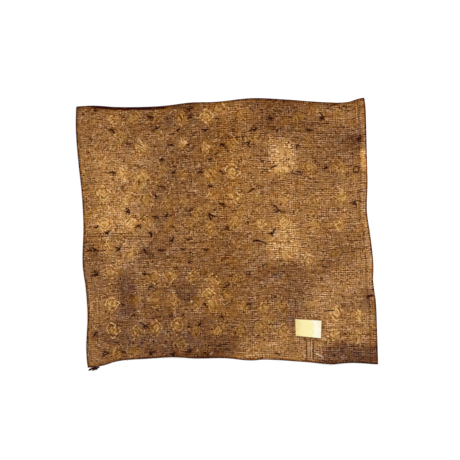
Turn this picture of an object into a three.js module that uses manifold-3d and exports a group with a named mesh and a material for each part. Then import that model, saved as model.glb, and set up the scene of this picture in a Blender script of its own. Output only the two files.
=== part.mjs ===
// A Kuba cloth: one flat panel of plain-woven raffia lying face down, with turned hems, a rolled top edge,
// raised knots where dark strands are tied off, a bare label and a frayed tuft at one corner.
// Millimetres, +Z up. The origin is on the floor, under the middle of the cloth's bounding box.
import * as THREE from 'three';
import { mergeVertices } from 'three/addons/utils/BufferGeometryUtils.js';
import Module from 'manifold-3d';

const wasm = await Module();
wasm.setup();

// Sheet
const CLOTH_THICKNESS = 2;
const CELLS_ACROSS = 34;
const CELLS_DOWN = 32;
const CORNER = {
  topLeft: new THREE.Vector2(-316, 268.4),
  topRight: new THREE.Vector2(287.3, 286.4),
  bottomRight: new THREE.Vector2(317.3, -272.8),
  bottomLeft: new THREE.Vector2(-292.1, -279.7),
};

// Hem: distances in from the cut edge, and how far the turned layers stand above the sheet
const HEM = { shoulder: 3, inner: 9, foot: 13, rise: 1 };
const HEM_LINES = [0, HEM.shoulder, HEM.inner, HEM.foot];

// The stretch of the top edge that is rolled over once more, as fractions of the edge
const ROLL = { from: 0.06, to: 0.39, fade: 0.03, rise: 1.6, edgeRise: 0.8 };

// Knots on the lattice of the stitched pattern
const LATTICE = { left: -241.5, top: 236.7, column: 46, row: 55, stray: 2 };
const KNOT_SIDES = 5;
const KNOT_SINK = 0.8;
const KNOT_CROWN = { radius: 0.65, height: 0.75 };
const KNOT_STRETCH = { along: 1.45, across: 0.8 };
const KNOTS = {
  small: { radius: 2, height: 1.2 },
  full: { radius: 3, height: 1.9 },
  stained: { radius: 3.8, height: 1.9 },
};

// Label
const GAP = 0.3;
const LABEL_THICKNESS = 1;
const LABEL_CORNERS = table(['x', 'y'], [
  [143.2, -177.7],
  [198.2, -181.0],
  [197.2, -217.6],
  [144.3, -212.5],
]);

// Corner tuft: a root cord along the bottom edge, and strands lying on the floor in front of it
const TUFT = { fromEdge: 0.012, toEdge: 0.036, cord: 1.6, cordSides: 6, strandSides: 4, taper: 0.45 };

// Each edge runs from its first corner to its second; out is how far it wanders outside the straight line
const TOP_EDGE = table(['at', 'out'], [
  [0, 0], [0.06, 1.0], [0.14, -3.4], [0.3, -4.0], [0.4, 1.5], [0.48, 1.2],
  [0.61, 6.5], [0.72, 2.4], [0.85, -5.5], [0.945, -7.3], [0.985, -1], [1, 0],
]);
const BOTTOM_EDGE = table(['at', 'out'], [
  [0, 0], [0.045, -2.7], [0.1, -12.5], [0.21, -17.4], [0.31, -20], [0.36, -17], [0.48, -16.4],
  [0.56, -11.2], [0.6, -12.8], [0.75, -6.6], [0.85, -1.3], [0.89, -3.8], [1, 0],
]);
const LEFT_EDGE = table(['at', 'out'], [
  [0, 0], [0.08, 3.2], [0.24, 0.2], [0.32, -2.9], [0.455, -3.8], [0.61, 1.4],
  [0.7, -3.2], [0.8, -4.4], [0.9, 0.4], [0.965, 1.5], [1, 0],
]);
const RIGHT_EDGE = table(['at', 'out'], [
  [0, 0], [0.03, 1.7], [0.2, 0.2], [0.32, -1.9], [0.425, -6.5], [0.53, -1.2],
  [0.63, 1.3], [0.685, -1.0], [0.765, 2.3], [0.87, 1.7], [1, 0],
]);

// Where the cloth lifts off the floor, as soft swells
const SWELLS = table(['x', 'y', 'reachX', 'reachY', 'rise'], [
  [287, 286, 48, 52, 9],
  [-302, -228, 30, 34, 3],
  [-105, -262, 46, 40, 5],
  [305, 46, 36, 70, 4],
  [225, -276, 50, 34, 4],
  [-300, -150, 34, 60, 3],
  [-312, 262, 40, 34, 3],
  [60, 284, 70, 30, 3],
  [-150, 70, 95, 42, 2.2],
  [130, 110, 60, 48, 2],
  [60, -150, 46, 90, 2],
]);

// The tied-off knots, charted by hand in steps of the lattice: a row for each line of them, with the
// columns where a small knot, a full one, or one in the middle of a wide stain sits
const KNOT_ROWS = table(['at', 'small', 'full', 'stained'], [
  [-0.45, [7.5], [-0.75, 3.5], []],
  [-0.15, [0.5, 2.5, 4.75, 11], [3.5, 9.5], [1.75, 7.25]],
  [0.3, [-1, 1, 5.5], [0, 2, 3, 4.25, 6.5, 9], []],
  [0.65, [-1, 8.5], [], [11.25]],
  [0.87, [3.5, 6.5], [0.75, 2.75, 5, 6.25, 8.5], []],
  [1.2, [-1, 4.25, 4.75], [], []],
  [1.47, [0.5, 6.75, 8, 9.25], [2.25, 4.5], []],
  [1.78, [1.25, 5.75], [9.75], []],
  [1.93, [6.25], [0, 2.75, 4, 5, 8.5], []],
  [2.5, [0.5], [2.25, 4.5], []],
  [2.85, [1, 3.5], [2], []],
  [3.12, [7.75], [5, 11], []],
  [3.4, [5.5], [0.75, 3.5, 7.5], []],
  [3.6, [], [2, 2.5, 4.5], []],
  [4, [0.25, 2.75, 3.75, 9], [-0.75, 1.25, 5.25], []],
  [4.25, [11.5], [-0.25, 1.75, 7.25], []],
  [4.5, [], [2.75, 3.5], []],
  [4.9, [], [-0.75, 0.25, 2.25, 3.25, 4.25], [1.5]],
  [5.4, [], [3.5], []],
  [5.85, [1.75, 3.25, 4, 6.25], [-0.75], [1.5]],
  [6.27, [2.75, 3.75], [1.75, 5.25], []],
  [6.65, [10.5], [4.5], [11.75]],
  [6.95, [1.5, 10.5], [0.5, 4.25, 6.25], []],
  [7.42, [1, 2, 3.25], [2.75, 5], []],
  [7.8, [0, 8.25], [1.5, 3.5, 4], []],
  [8.12, [10.5], [-0.75], []],
  [8.42, [1, 2.75], [], []],
  [8.82, [7.5], [-0.25, 0.5, 1.75, 2.75, 3.5, 4.25], []],
]);

// Frayed strands: root as a fraction of the root cord, heading in degrees from +X, length and width
const TUFT_STRANDS = table(['root', 'heading', 'length', 'width'], [
  [0.04, 218, 7.5, 1.2],
  [0.15, 241, 8.5, 1.1],
  [0.27, 257, 6.5, 1.2],
  [0.38, 284, 8.0, 1.0],
  [0.5, 262, 7.0, 1.2],
  [0.62, 293, 6.0, 1.1],
  [0.74, 271, 7.5, 1.0],
  [0.86, 302, 5.5, 1.1],
  [0.96, 318, 5.0, 1.0],
]);

const FINISH = {
  raffia: new THREE.MeshStandardMaterial({ color: 0x90653d, roughness: 0.85, metalness: 0 }),
  cotton: new THREE.MeshStandardMaterial({ color: 0xf4ecc4, roughness: 0.9, metalness: 0 }),
  darkRaffia: new THREE.MeshStandardMaterial({ color: 0x2e1d10, roughness: 0.9, metalness: 0 }),
};

/** Turns rows of numbers into objects with the named columns. */
function table(columns, rows) {
  return rows.map((row) => Object.fromEntries(columns.map((column, index) => [column, row[index]])));
}

/** A smooth curve through an edge's table: the offset at a fraction of the edge. */
function wander(rows) {
  const at = rows.map((row) => row.at);
  const out = rows.map((row) => row.out);
  const spline = new THREE.CubicInterpolant(at, out, 1, new Float32Array(1));
  return (fraction) => spline.evaluate(fraction)[0];
}

/** An edge from one corner to another, as a function of the fraction along it. */
function edge(start, end, rows, outwardSign) {
  const along = end.clone().sub(start).normalize();
  const outward = new THREE.Vector2(-along.y, along.x).multiplyScalar(outwardSign);
  const offset = wander(rows);
  return (fraction) => start.clone().lerp(end, fraction).addScaledVector(outward, offset(fraction));
}

const topEdge = edge(CORNER.topLeft, CORNER.topRight, TOP_EDGE, 1);
const bottomEdge = edge(CORNER.bottomLeft, CORNER.bottomRight, BOTTOM_EDGE, -1);
const leftEdge = edge(CORNER.topLeft, CORNER.bottomLeft, LEFT_EDGE, -1);
const rightEdge = edge(CORNER.topRight, CORNER.bottomRight, RIGHT_EDGE, 1);
const MEAN_WIDTH = 0.5 * (CORNER.topLeft.distanceTo(CORNER.topRight)
  + CORNER.bottomLeft.distanceTo(CORNER.bottomRight));
const MEAN_HEIGHT = 0.5 * (CORNER.topLeft.distanceTo(CORNER.bottomLeft)
  + CORNER.topRight.distanceTo(CORNER.bottomRight));

/** The point of the sheet at a fraction across and a fraction down, between its four edges. */
function sheetPoint(across, down) {
  const point = topEdge(across).multiplyScalar(1 - down);
  point.addScaledVector(bottomEdge(across), down);
  point.addScaledVector(leftEdge(down), 1 - across);
  point.addScaledVector(rightEdge(down), across);
  point.addScaledVector(CORNER.topLeft, -(1 - across) * (1 - down));
  point.addScaledVector(CORNER.topRight, -across * (1 - down));
  point.addScaledVector(CORNER.bottomLeft, -(1 - across) * down);
  point.addScaledVector(CORNER.bottomRight, -across * down);
  return point;
}

/** How far the sheet's underside is off the floor at a point. */
function lift(x, y) {
  return SWELLS.reduce((sum, swell) => {
    const near = 1 - ((x - swell.x) / swell.reachX) ** 2 - ((y - swell.y) / swell.reachY) ** 2;
    return sum + swell.rise * Math.max(0, near) ** 2;
  }, 0);
}

/** The hem's extra thickness at a distance in from the nearest edge. */
function hemRise(inset) {
  const up = THREE.MathUtils.clamp(inset / HEM.shoulder, 0, 1);
  const down = THREE.MathUtils.clamp((HEM.foot - inset) / (HEM.foot - HEM.inner), 0, 1);
  return HEM.rise * Math.min(up, down);
}

/** The extra thickness of the rolled stretch at the top edge. */
function rollRise(across, inset) {
  const start = THREE.MathUtils.smoothstep(across, ROLL.from, ROLL.from + ROLL.fade);
  const end = 1 - THREE.MathUtils.smoothstep(across, ROLL.to - ROLL.fade, ROLL.to);
  const over = inset <= HEM.shoulder
    ? THREE.MathUtils.lerp(ROLL.edgeRise, ROLL.rise, inset / HEM.shoulder)
    : ROLL.rise * THREE.MathUtils.clamp((HEM.inner - inset) / (HEM.inner - HEM.shoulder), 0, 1);
  return start * end * over;
}

/** Grid lines over a length: the hem's own lines at both ends, and even lines between. */
function gridLine(index, cells, length) {
  const last = HEM_LINES.length - 1;
  if (index <= last) {
    return HEM_LINES[index] / length;
  }
  if (index >= cells - last) {
    return 1 - HEM_LINES[cells - index] / length;
  }
  const margin = HEM.foot / length;
  return THREE.MathUtils.lerp(margin, 1 - margin, (index - last) / (cells - 2 * last));
}

/** A geometry with only its positions, shared vertices merged, as a solid for joining. */
function solid(geometry) {
  const bare = geometry.clone();
  bare.deleteAttribute('normal');
  bare.deleteAttribute('uv');
  const merged = mergeVertices(bare, 1e-4);
  const vertProperties = Float32Array.from(merged.getAttribute('position').array);
  const triVerts = Uint32Array.from(merged.getIndex().array);
  return new wasm.Manifold(new wasm.Mesh({ numProp: 3, vertProperties, triVerts }));
}

/** A solid back as a geometry. */
function geometryOf(body) {
  const mesh = body.getMesh();
  const geometry = new THREE.BufferGeometry();
  geometry.setAttribute('position', new THREE.BufferAttribute(mesh.vertProperties, 3));
  geometry.setIndex(new THREE.BufferAttribute(mesh.triVerts, 1));
  geometry.computeVertexNormals();
  return geometry;
}

/** The woven sheet with its hems, before the knots. */
function sheetGeometry() {
  const geometry = new THREE.BoxGeometry(1, 1, 1, CELLS_ACROSS, CELLS_DOWN, 1);
  const position = geometry.getAttribute('position');
  for (let index = 0; index < position.count; index += 1) {
    const column = Math.round((position.getX(index) + 0.5) * CELLS_ACROSS);
    const row = Math.round((0.5 - position.getY(index)) * CELLS_DOWN);
    const across = gridLine(column, CELLS_ACROSS, MEAN_WIDTH);
    const down = gridLine(row, CELLS_DOWN, MEAN_HEIGHT);
    const point = sheetPoint(across, down);
    const insetAcross = Math.min(across, 1 - across) * MEAN_WIDTH;
    const insetDown = Math.min(down, 1 - down) * MEAN_HEIGHT;
    const rise = hemRise(Math.min(insetAcross, insetDown)) + rollRise(across, down * MEAN_HEIGHT);
    const thickness = position.getZ(index) > 0 ? CLOTH_THICKNESS + rise : 0;
    position.setXYZ(index, point.x, point.y, lift(point.x, point.y) + thickness);
  }
  return geometry;
}

/** A repeatable scatter between -1 and 1 for a place on the chart. */
function scatter(column, row, salt) {
  const wave = Math.sin(column * 12.9898 + row * 78.233 + salt * 37.719) * 43758.5453;
  return 2 * (wave - Math.floor(wave)) - 1;
}

/** One tied-off knot: a low faceted lump, longer one way, sunk a little into the sheet. */
function knotGeometry(kind, column, row) {
  const profile = [
    new THREE.Vector2(0, -KNOT_SINK),
    new THREE.Vector2(kind.radius, -KNOT_SINK),
    new THREE.Vector2(KNOT_CROWN.radius * kind.radius, KNOT_CROWN.height * kind.height),
    new THREE.Vector2(0, kind.height),
  ];
  const geometry = new THREE.LatheGeometry(profile, KNOT_SIDES);
  geometry.rotateX(Math.PI / 2);
  geometry.scale(KNOT_STRETCH.along, KNOT_STRETCH.across, 1);
  geometry.rotateZ(Math.PI * scatter(column, row, 3));
  const x = LATTICE.left + LATTICE.column * column + LATTICE.stray * scatter(column, row, 1);
  const y = LATTICE.top - LATTICE.row * row + LATTICE.stray * scatter(column, row, 2);
  geometry.translate(x, y, lift(x, y) + CLOTH_THICKNESS);
  return geometry;
}

/** The whole panel: the sheet joined with every knot on the chart. */
function clothGeometry() {
  let body = solid(sheetGeometry());
  KNOT_ROWS.forEach((row) => {
    Object.entries(KNOTS).forEach(([name, kind]) => {
      row[name].forEach((column) => {
        body = body.add(solid(knotGeometry(kind, column, row.at)));
      });
    });
  });
  return geometryOf(body);
}

/** The flat label, resting just above the sheet. */
function labelGeometry() {
  const outline = new THREE.Shape(LABEL_CORNERS.map((corner) => new THREE.Vector2(corner.x, corner.y)));
  const geometry = new THREE.ExtrudeGeometry(outline, { depth: LABEL_THICKNESS, bevelEnabled: false });
  geometry.translate(0, 0, CLOTH_THICKNESS + GAP);
  return geometry;
}

/** A bar between two points on the floor plane, lying flat on it. */
function floorBar(from, to, startWidth, endWidth, sides) {
  const length = from.distanceTo(to);
  const flatSide = Math.cos(Math.PI / sides);
  const geometry = new THREE.CylinderGeometry(
    endWidth / 2 / flatSide, startWidth / 2 / flatSide, length, sides, 1, false, Math.PI / sides,
  );
  geometry.translate(0, length / 2, 0);
  const drop = Math.asin((startWidth - endWidth) / 2 / length);
  geometry.rotateX(-drop);
  geometry.rotateZ(to.clone().sub(from).angle() - Math.PI / 2);
  geometry.translate(from.x, from.y, startWidth / 2);
  return geometry;
}

/** The frayed tuft: strands joined to their root cord in front of the bottom edge. */
function tuftGeometry() {
  const clear = new THREE.Vector2(0, -GAP - TUFT.cord / 2);
  const from = bottomEdge(TUFT.fromEdge).add(clear);
  const to = bottomEdge(TUFT.toEdge).add(clear);
  let body = solid(floorBar(from, to, TUFT.cord, TUFT.cord, TUFT.cordSides));
  TUFT_STRANDS.forEach((strand) => {
    const root = from.clone().lerp(to, strand.root);
    const heading = THREE.MathUtils.degToRad(strand.heading);
    const reach = new THREE.Vector2(Math.cos(heading), Math.sin(heading));
    const tip = root.clone().addScaledVector(reach, strand.length);
    body = body.add(solid(floorBar(root, tip, strand.width, strand.width * TUFT.taper, TUFT.strandSides)));
  });
  return geometryOf(body);
}

/** A named mesh of one sub-part. */
function piece(name, geometry, material) {
  const mesh = new THREE.Mesh(geometry, material);
  mesh.name = name;
  return mesh;
}

const group = new THREE.Group();
group.add(piece('cloth', clothGeometry(), FINISH.raffia));
group.add(piece('label', labelGeometry(), FINISH.cotton));
group.add(piece('corner_tuft', tuftGeometry(), FINISH.darkRaffia));

const box = new THREE.Box3().setFromObject(group, true);
const middle = box.getCenter(new THREE.Vector3());
group.position.set(-middle.x, -middle.y, -box.min.z);
group.updateMatrixWorld(true);

export default group;
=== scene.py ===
"""Looks of a Kuba cloth: one panel of plain-woven raffia lying face down on a pale floor.

Sizes are in metres. Places on the cloth are counted in steps of its stitched lattice. Its columns are
46 mm apart and its rows 55 mm, with column 0 near the left edge and row 0 near the top edge. A tone runs
from 0, the darkest raffia, to 1, the palest, and a warmth from 0, mauve, to 1, golden.
"""

import logging
import math
from collections.abc import Iterable, Iterator
from dataclasses import dataclass, field
from enum import Enum
from functools import lru_cache, reduce
from typing import ClassVar

import bmesh
import bpy
import numpy as np
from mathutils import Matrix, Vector
from mathutils.bvhtree import BVHTree


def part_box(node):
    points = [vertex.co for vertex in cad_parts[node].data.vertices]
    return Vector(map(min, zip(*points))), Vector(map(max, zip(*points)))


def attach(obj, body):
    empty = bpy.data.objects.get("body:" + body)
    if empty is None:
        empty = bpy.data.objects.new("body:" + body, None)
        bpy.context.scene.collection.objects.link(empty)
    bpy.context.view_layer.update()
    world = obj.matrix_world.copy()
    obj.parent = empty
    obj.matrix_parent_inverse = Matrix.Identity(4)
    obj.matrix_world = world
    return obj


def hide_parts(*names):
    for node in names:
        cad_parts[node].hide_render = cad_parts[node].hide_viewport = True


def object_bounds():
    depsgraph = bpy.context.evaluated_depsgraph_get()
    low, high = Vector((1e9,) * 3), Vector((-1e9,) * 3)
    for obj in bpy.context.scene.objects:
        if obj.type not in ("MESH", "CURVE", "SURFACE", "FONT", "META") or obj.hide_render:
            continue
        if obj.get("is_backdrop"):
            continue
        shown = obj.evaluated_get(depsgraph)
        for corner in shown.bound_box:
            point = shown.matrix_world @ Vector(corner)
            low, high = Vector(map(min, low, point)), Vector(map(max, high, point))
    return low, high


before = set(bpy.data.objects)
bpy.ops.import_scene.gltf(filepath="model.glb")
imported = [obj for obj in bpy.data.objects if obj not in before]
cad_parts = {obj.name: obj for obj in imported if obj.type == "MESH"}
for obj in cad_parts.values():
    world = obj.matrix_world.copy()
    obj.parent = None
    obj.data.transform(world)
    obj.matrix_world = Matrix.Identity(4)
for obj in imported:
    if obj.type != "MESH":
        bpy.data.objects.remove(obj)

MM = 0.001
DISPLAY_WHITE = 255
CURVE_KNEE, CURVE_SLOPE, CURVE_SHIFT, CURVE_POWER = 0.04045, 12.92, 0.055, 2.4
PALEST = 0.97
log = logging.getLogger("kuba_cloth")

Colour = tuple[float, float, float]
Pair = tuple[float, float]
Array = np.ndarray
Draws = np.random.Generator
Socket = bpy.types.NodeSocket
Material = bpy.types.Material
Piece = bpy.types.Object


def linear(display: Colour) -> Colour:
    """The linear light, from 0 to 1, of a colour in display values, from 0 to 255."""
    parts = (value / DISPLAY_WHITE for value in display)
    return tuple(p / CURVE_SLOPE if p <= CURVE_KNEE
                 else ((p + CURVE_SHIFT) / (1 + CURVE_SHIFT)) ** CURVE_POWER for p in parts)


@dataclass(frozen=True)
class Lattice:
    """The even lattice on which the stitched motifs and their knots lie."""

    left: float = -241.5 * MM
    top: float = 237.24 * MM
    column: float = 46 * MM
    row: float = 55 * MM

    def place(self, column: Array, row: Array) -> tuple[Array, Array]:
        """The x and y of lattice places."""
        return self.left + self.column * np.asarray(column), self.top - self.row * np.asarray(row)

    def count(self, x: Array, y: Array) -> tuple[Array, Array]:
        """The column and row of points on the cloth."""
        return (np.asarray(x) - self.left) / self.column, (self.top - np.asarray(y)) / self.row


LATTICE = Lattice()


class Charted:
    """Something that the chart of the cloth holds many of."""

    @classmethod
    def table(cls, *rows: tuple) -> tuple["Charted", ...]:
        """One for each row of values."""
        return tuple(cls(*row) for row in rows)


@dataclass(frozen=True)
class Grain:
    """One layer of soft noise: features to the metre along each axis, finer layers, and amount."""

    scale: Colour
    detail: float = 1.0
    amount: float = 1.0


@dataclass(frozen=True)
class RaffiaDye:
    """How raffia's colour runs from its darkest to its palest strands, as display values.

    The steps are the middle of the range. Golden and mauve strands are shifted to either side of them, and
    soft patches lean a little to olive or to pink.
    """

    steps: tuple[tuple[float, Colour], ...] = (
        (0.0, (48, 10, 0)),
        (0.12, (84, 39, 0)),
        (0.3, (116, 68, 24)),
        (0.5, (149, 103, 59)),
        (0.7, (184, 139, 93)),
        (0.9, (217, 172, 130)),
        (1.0, (243, 209, 170)),
    )
    golden: Colour = (11.5, -2.5, -30)
    mauve: Colour = (-13.5, 1, 32)
    range: float = 2.3
    exposure: float = 1.16
    gamma: float = 2.2
    tinge: Grain = Grain((48, 56, 0), 1.0, 0.16)
    tinge_lean: Colour = (-1.0, 0.45, -1.2)

    def stops(self, lean: Colour) -> list[tuple[float, Colour]]:
        """The steps of a ramp, darkened by how bright the studio is and still to be raised to gamma.

        Args:
            lean: how far the steps shift to a hue, in display values.

        Returns:
            The tone and the colour of each step.
        """
        power = 1 / self.gamma
        dim = self.exposure ** -power
        return [(at, tuple(min(max(dim * (light**power + shift / DISPLAY_WHITE), 0.0), 1.0)
                           for light, shift in zip(linear(colour), lean)))
                for at, colour in self.steps]

    def paint(self, tone: Array, warmth: Array) -> Array:
        """The linear colours of many strands.

        Args:
            tone: the tone of each.
            warmth: the warmth of each.

        Returns:
            One row of red, green, blue and alpha for each strand.
        """
        ends = []
        for lean in (self.mauve, self.golden):
            at, colours = zip(*self.stops(lean))
            ends.append(np.stack([np.interp(tone, at, band) for band in zip(*colours)], axis=-1))
        share = np.clip(0.5 + (warmth - 0.5) / self.range, 0, 1)[..., None]
        mixed = ends[0] * (1 - share) + ends[1] * share
        return np.concatenate([mixed**self.gamma, np.ones_like(share)], axis=-1)


DYE = RaffiaDye()


class PatchEdge(Enum):
    """How sharply the edge of a patch fades, and how squarish the patch is: 2 is round."""

    SOFT = (1.3, 2)
    FIRM = (3.0, 4)
    CRISP = (7.0, 4)


@dataclass(frozen=True)
class Patch(Charted):
    """One faded, darkened or tinted patch of the cloth, in lattice steps."""

    column: float
    row: float
    wide: float
    tall: float
    shade: float
    edge: PatchEdge = PatchEdge.SOFT

    def weight(self, column: Array, row: Array) -> Array:
        """How much of the patch's shade falls on lattice places.

        Args:
            column: the places' columns.
            row: the places' rows.

        Returns:
            The shade at each place.
        """
        sharpness, power = self.edge.value
        across = np.abs(column - self.column) / self.wide
        down = np.abs(row - self.row) / self.tall
        far = (across**power + down**power) ** (1 / power)
        return self.shade * 0.5 * (1 - np.tanh(sharpness * (far - 1)))


FADED = Patch.table(
    (-0.1, 2.6, 0.9, 1.7, 0.13), (0.75, 3.6, 0.95, 1.1, 0.19), (-0.8, 1.2, 0.35, 0.5, 0.06),
    (-0.7, 8.8, 0.4, 0.5, 0.06), (-0.8, 3.9, 0.3, 0.3, 0.07), (1.3, 1.6, 0.7, 0.5, 0.05),
    (2, 0.95, 0.7, 0.5, 0.05), (0.6, 5.2, 0.5, 0.3, 0.07), (0.6, 4.8, 1.8, 0.8, 0.025),
    (3.3, 4.3, 0.6, 0.6, 0.04), (6.1, 0.6, 0.4, 1, 0.06), (7.75, 1.3, 0.68, 0.7, 0.25, PatchEdge.CRISP),
    (8.4, 1, 0.4, 0.5, 0.06), (8, 3, 1.2, 0.6, 0.05), (7.75, 4.5, 0.75, 0.75, 0.22, PatchEdge.FIRM),
    (8.65, 5.1, 0.6, 0.3, 0.1), (9, 4.4, 0.5, 0.7, 0.06), (6.1, 5.2, 0.5, 0.7, 0.09),
    (4.8, -0.4, 0.5, 0.4, 0.07), (9.9, 7.2, 1, 0.95, 0.12), (7.05, 8.7, 1.4, 0.38, 0.16, PatchEdge.FIRM),
    (7.8, 8, 0.6, 0.3, 0.09), (8.8, 8.7, 0.3, 0.3, 0.09), (11.52, 1.4, 0.25, 0.32, 0.22, PatchEdge.CRISP),
    (11, 6.1, 0.8, 0.6, 0.12), (10.6, 3, 1, 0.9, 0.09), (10.9, -0.3, 0.6, 0.5, 0.06),
    (6.2, 2.8, 1.2, 2.2, 0.05), (-0.5, 7.1, 0.6, 0.6, 0.1), (4.2, 6.75, 0.8, 0.5, 0.12),
    (9.9, 6.4, 0.55, 0.8, 0.05, PatchEdge.FIRM), (6, 8.6, 0.4, 0.3, 0.07), (3.4, 5.2, 0.7, 0.4, 0.04),
    (-0.1, 1.5, 0.4, 0.4, 0.05), (11.6, 5, 0.3, 0.5, 0.05), (9.5, -0.45, 0.4, 0.3, 0.09),
    (0.6, 5.5, 0.5, 0.4, 0.05), (-0.8, 0, 0.3, 0.3, 0.04), (9.4, 4, 0.6, 0.4, 0.04),
    (1.3, 7.5, 0.5, 0.4, 0.04), (1.9, 0.6, 0.8, 0.3, 0.03), (11.6, 4.8, 0.3, 0.4, 0.04),
    (9.5, 8.3, 0.8, 0.5, 0.12), (11.4, 7.7, 0.5, 0.6, 0.07),
)
DARKENED = Patch.table(
    (10.9, 8.95, 1.4, 0.46, -0.21, PatchEdge.CRISP), (3.6, 8.85, 2.3, 0.5, -0.12),
    (5.4, 8.45, 0.7, 0.5, -0.12), (3.4, -0.5, 0.4, 0.3, -0.1), (8.25, 8.6, 0.3, 0.3, -0.12),
    (10.9, 4.6, 0.5, 0.4, -0.05), (0.65, 6.6, 0.36, 0.85, -0.16, PatchEdge.FIRM),
    (0.6, 2.9, 0.4, 0.3, -0.06), (0.1, 8, 0.7, 0.4, -0.12), (2, 7, 0.6, 0.5, -0.06),
    (4.1, 7.6, 0.5, 0.5, -0.1), (2.5, 0, 1.1, 0.4, -0.07), (7.2, -0.4, 0.8, 0.4, -0.1),
    (5, 0.6, 1.2, 0.6, -0.08), (8, 0.1, 1.4, 0.7, -0.11), (5.5, 6.9, 0.5, 0.7, -0.07),
    (7.3, 4, 0.5, 0.4, -0.06), (10.6, 0.6, 1.1, 0.5, -0.04), (4.6, 8.7, 0.9, 0.3, -0.06),
    (0.2, 2.7, 0.8, 0.5, -0.04), (5, 4.6, 0.6, 0.4, -0.04), (10.5, 3.4, 0.6, 0.4, -0.04),
    (8.3, 7.5, 0.4, 0.3, -0.05), (6.6, 6, 0.9, 0.6, -0.04), (6.9, 2.7, 0.6, 0.6, -0.04),
    (5.6, 4.6, 0.8, 0.6, -0.09), (1.75, 4.7, 0.6, 0.5, -0.08), (7.2, 5.5, 1.9, 0.45, -0.06),
    (8.3, 5.65, 2.1, 0.3, -0.02, PatchEdge.FIRM), (10.1, 5.5, 0.6, 0.6, -0.1), (8.2, 6.1, 0.8, 0.5, -0.03),
    (10.2, 1.8, 0.6, 0.8, -0.06), (10.9, 0.65, 0.55, 0.35, -0.11), (11.12, 0.73, 0.24, 0.2, -0.2),
    (11.75, 6.8, 0.3, 0.4, -0.1), (10.7, 6.95, 0.7, 0.3, -0.11), (2.5, 1.3, 0.7, 1.5, -0.03),
    (3, 1.7, 0.7, 0.6, -0.03), (-0.9, 5.2, 0.4, 0.8, -0.08), (2, 8, 2, 0.7, -0.03),
    (3.45, 6.5, 0.42, 0.45, -0.16, PatchEdge.FIRM), (8.15, 7.3, 0.6, 0.7, -0.08, PatchEdge.FIRM),
    (4.8, 5.7, 1.2, 0.7, -0.05), (2.4, 3.9, 0.7, 0.9, -0.06),
    # (8.93, 7.91) is a painted shadow along the label's left and lower edges.
    (8.93, 7.91, 0.62, 0.36, -0.2, PatchEdge.CRISP), (1.55, 5.08, 0.26, 0.15, -0.22),
    (8.75, 6.3, 0.35, 0.35, -0.07), (7.2, 0.6, 0.5, 0.3, -0.04),
)
TINTED = Patch.table(
    (5.2, 1.6, 0.85, 2.4, 0.35), (-0.3, 2.9, 0.8, 1.3, 0.08), (7.1, 8.6, 1.4, 0.5, 0.1),
    (7.8, 2.9, 1.4, 1.6, 0.1), (7.4, 0.7, 1.6, 0.5, -0.1), (7.9, 0, 1.2, 0.4, 0.15),
    (7.8, 4.3, 0.8, 0.6, 0.15), (-0.6, 3.4, 0.6, 0.9, 0.12), (-0.8, 6.1, 0.5, 0.6, -0.25),
    (11.6, 6.8, 0.5, 0.6, -0.2), (10.9, 0.8, 0.6, 0.5, -0.15), (3.4, 8.2, 1.2, 0.5, -0.15),
    (8.3, 7, 0.8, 0.5, -0.15), (5, 6.7, 0.6, 1.2, 0.2), (1.1, 6, 0.6, 2.4, -0.15),
    (0.65, 6.5, 0.45, 1.1, -0.22), (3.45, 6.5, 0.5, 0.5, -0.25), (8.5, 7, 0.45, 0.7, -0.05),
    (9.7, 6.8, 0.9, 0.4, -0.1), (3.2, 8.5, 2, 0.6, -0.1), (10.95, 8.87, 1.45, 0.42, -0.38),
    (7.4, 7.8, 1.4, 0.5, -0.12), (11.52, 1.4, 0.35, 0.45, 0.55), (2.9, 1.4, 1, 1.2, -0.15),
    (2.5, 4.8, 0.9, 0.7, -0.1), (1.2, 8.3, 2.4, 0.7, -0.2), (7.6, 5.6, 1.8, 0.8, -0.12),
)


class KnotKind(Enum):
    """The three kinds of tied-off knot, by radius and height in millimetres."""

    SMALL = (2.0, 1.2)
    FULL = (3.0, 1.9)
    STAINED = (3.8, 1.9)


@dataclass(frozen=True)
class KnotRow(Charted):
    """One line of knots: its lattice row, and the columns of its small, full and stained knots."""

    at: float
    small: tuple[float, ...] = ()
    full: tuple[float, ...] = ()
    stained: tuple[float, ...] = ()

    def knots(self) -> Iterator[tuple[KnotKind, float]]:
        """Every knot of the line, with its kind and its column."""
        for kind, columns in zip(KnotKind, (self.small, self.full, self.stained)):
            yield from ((kind, column) for column in columns)


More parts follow.
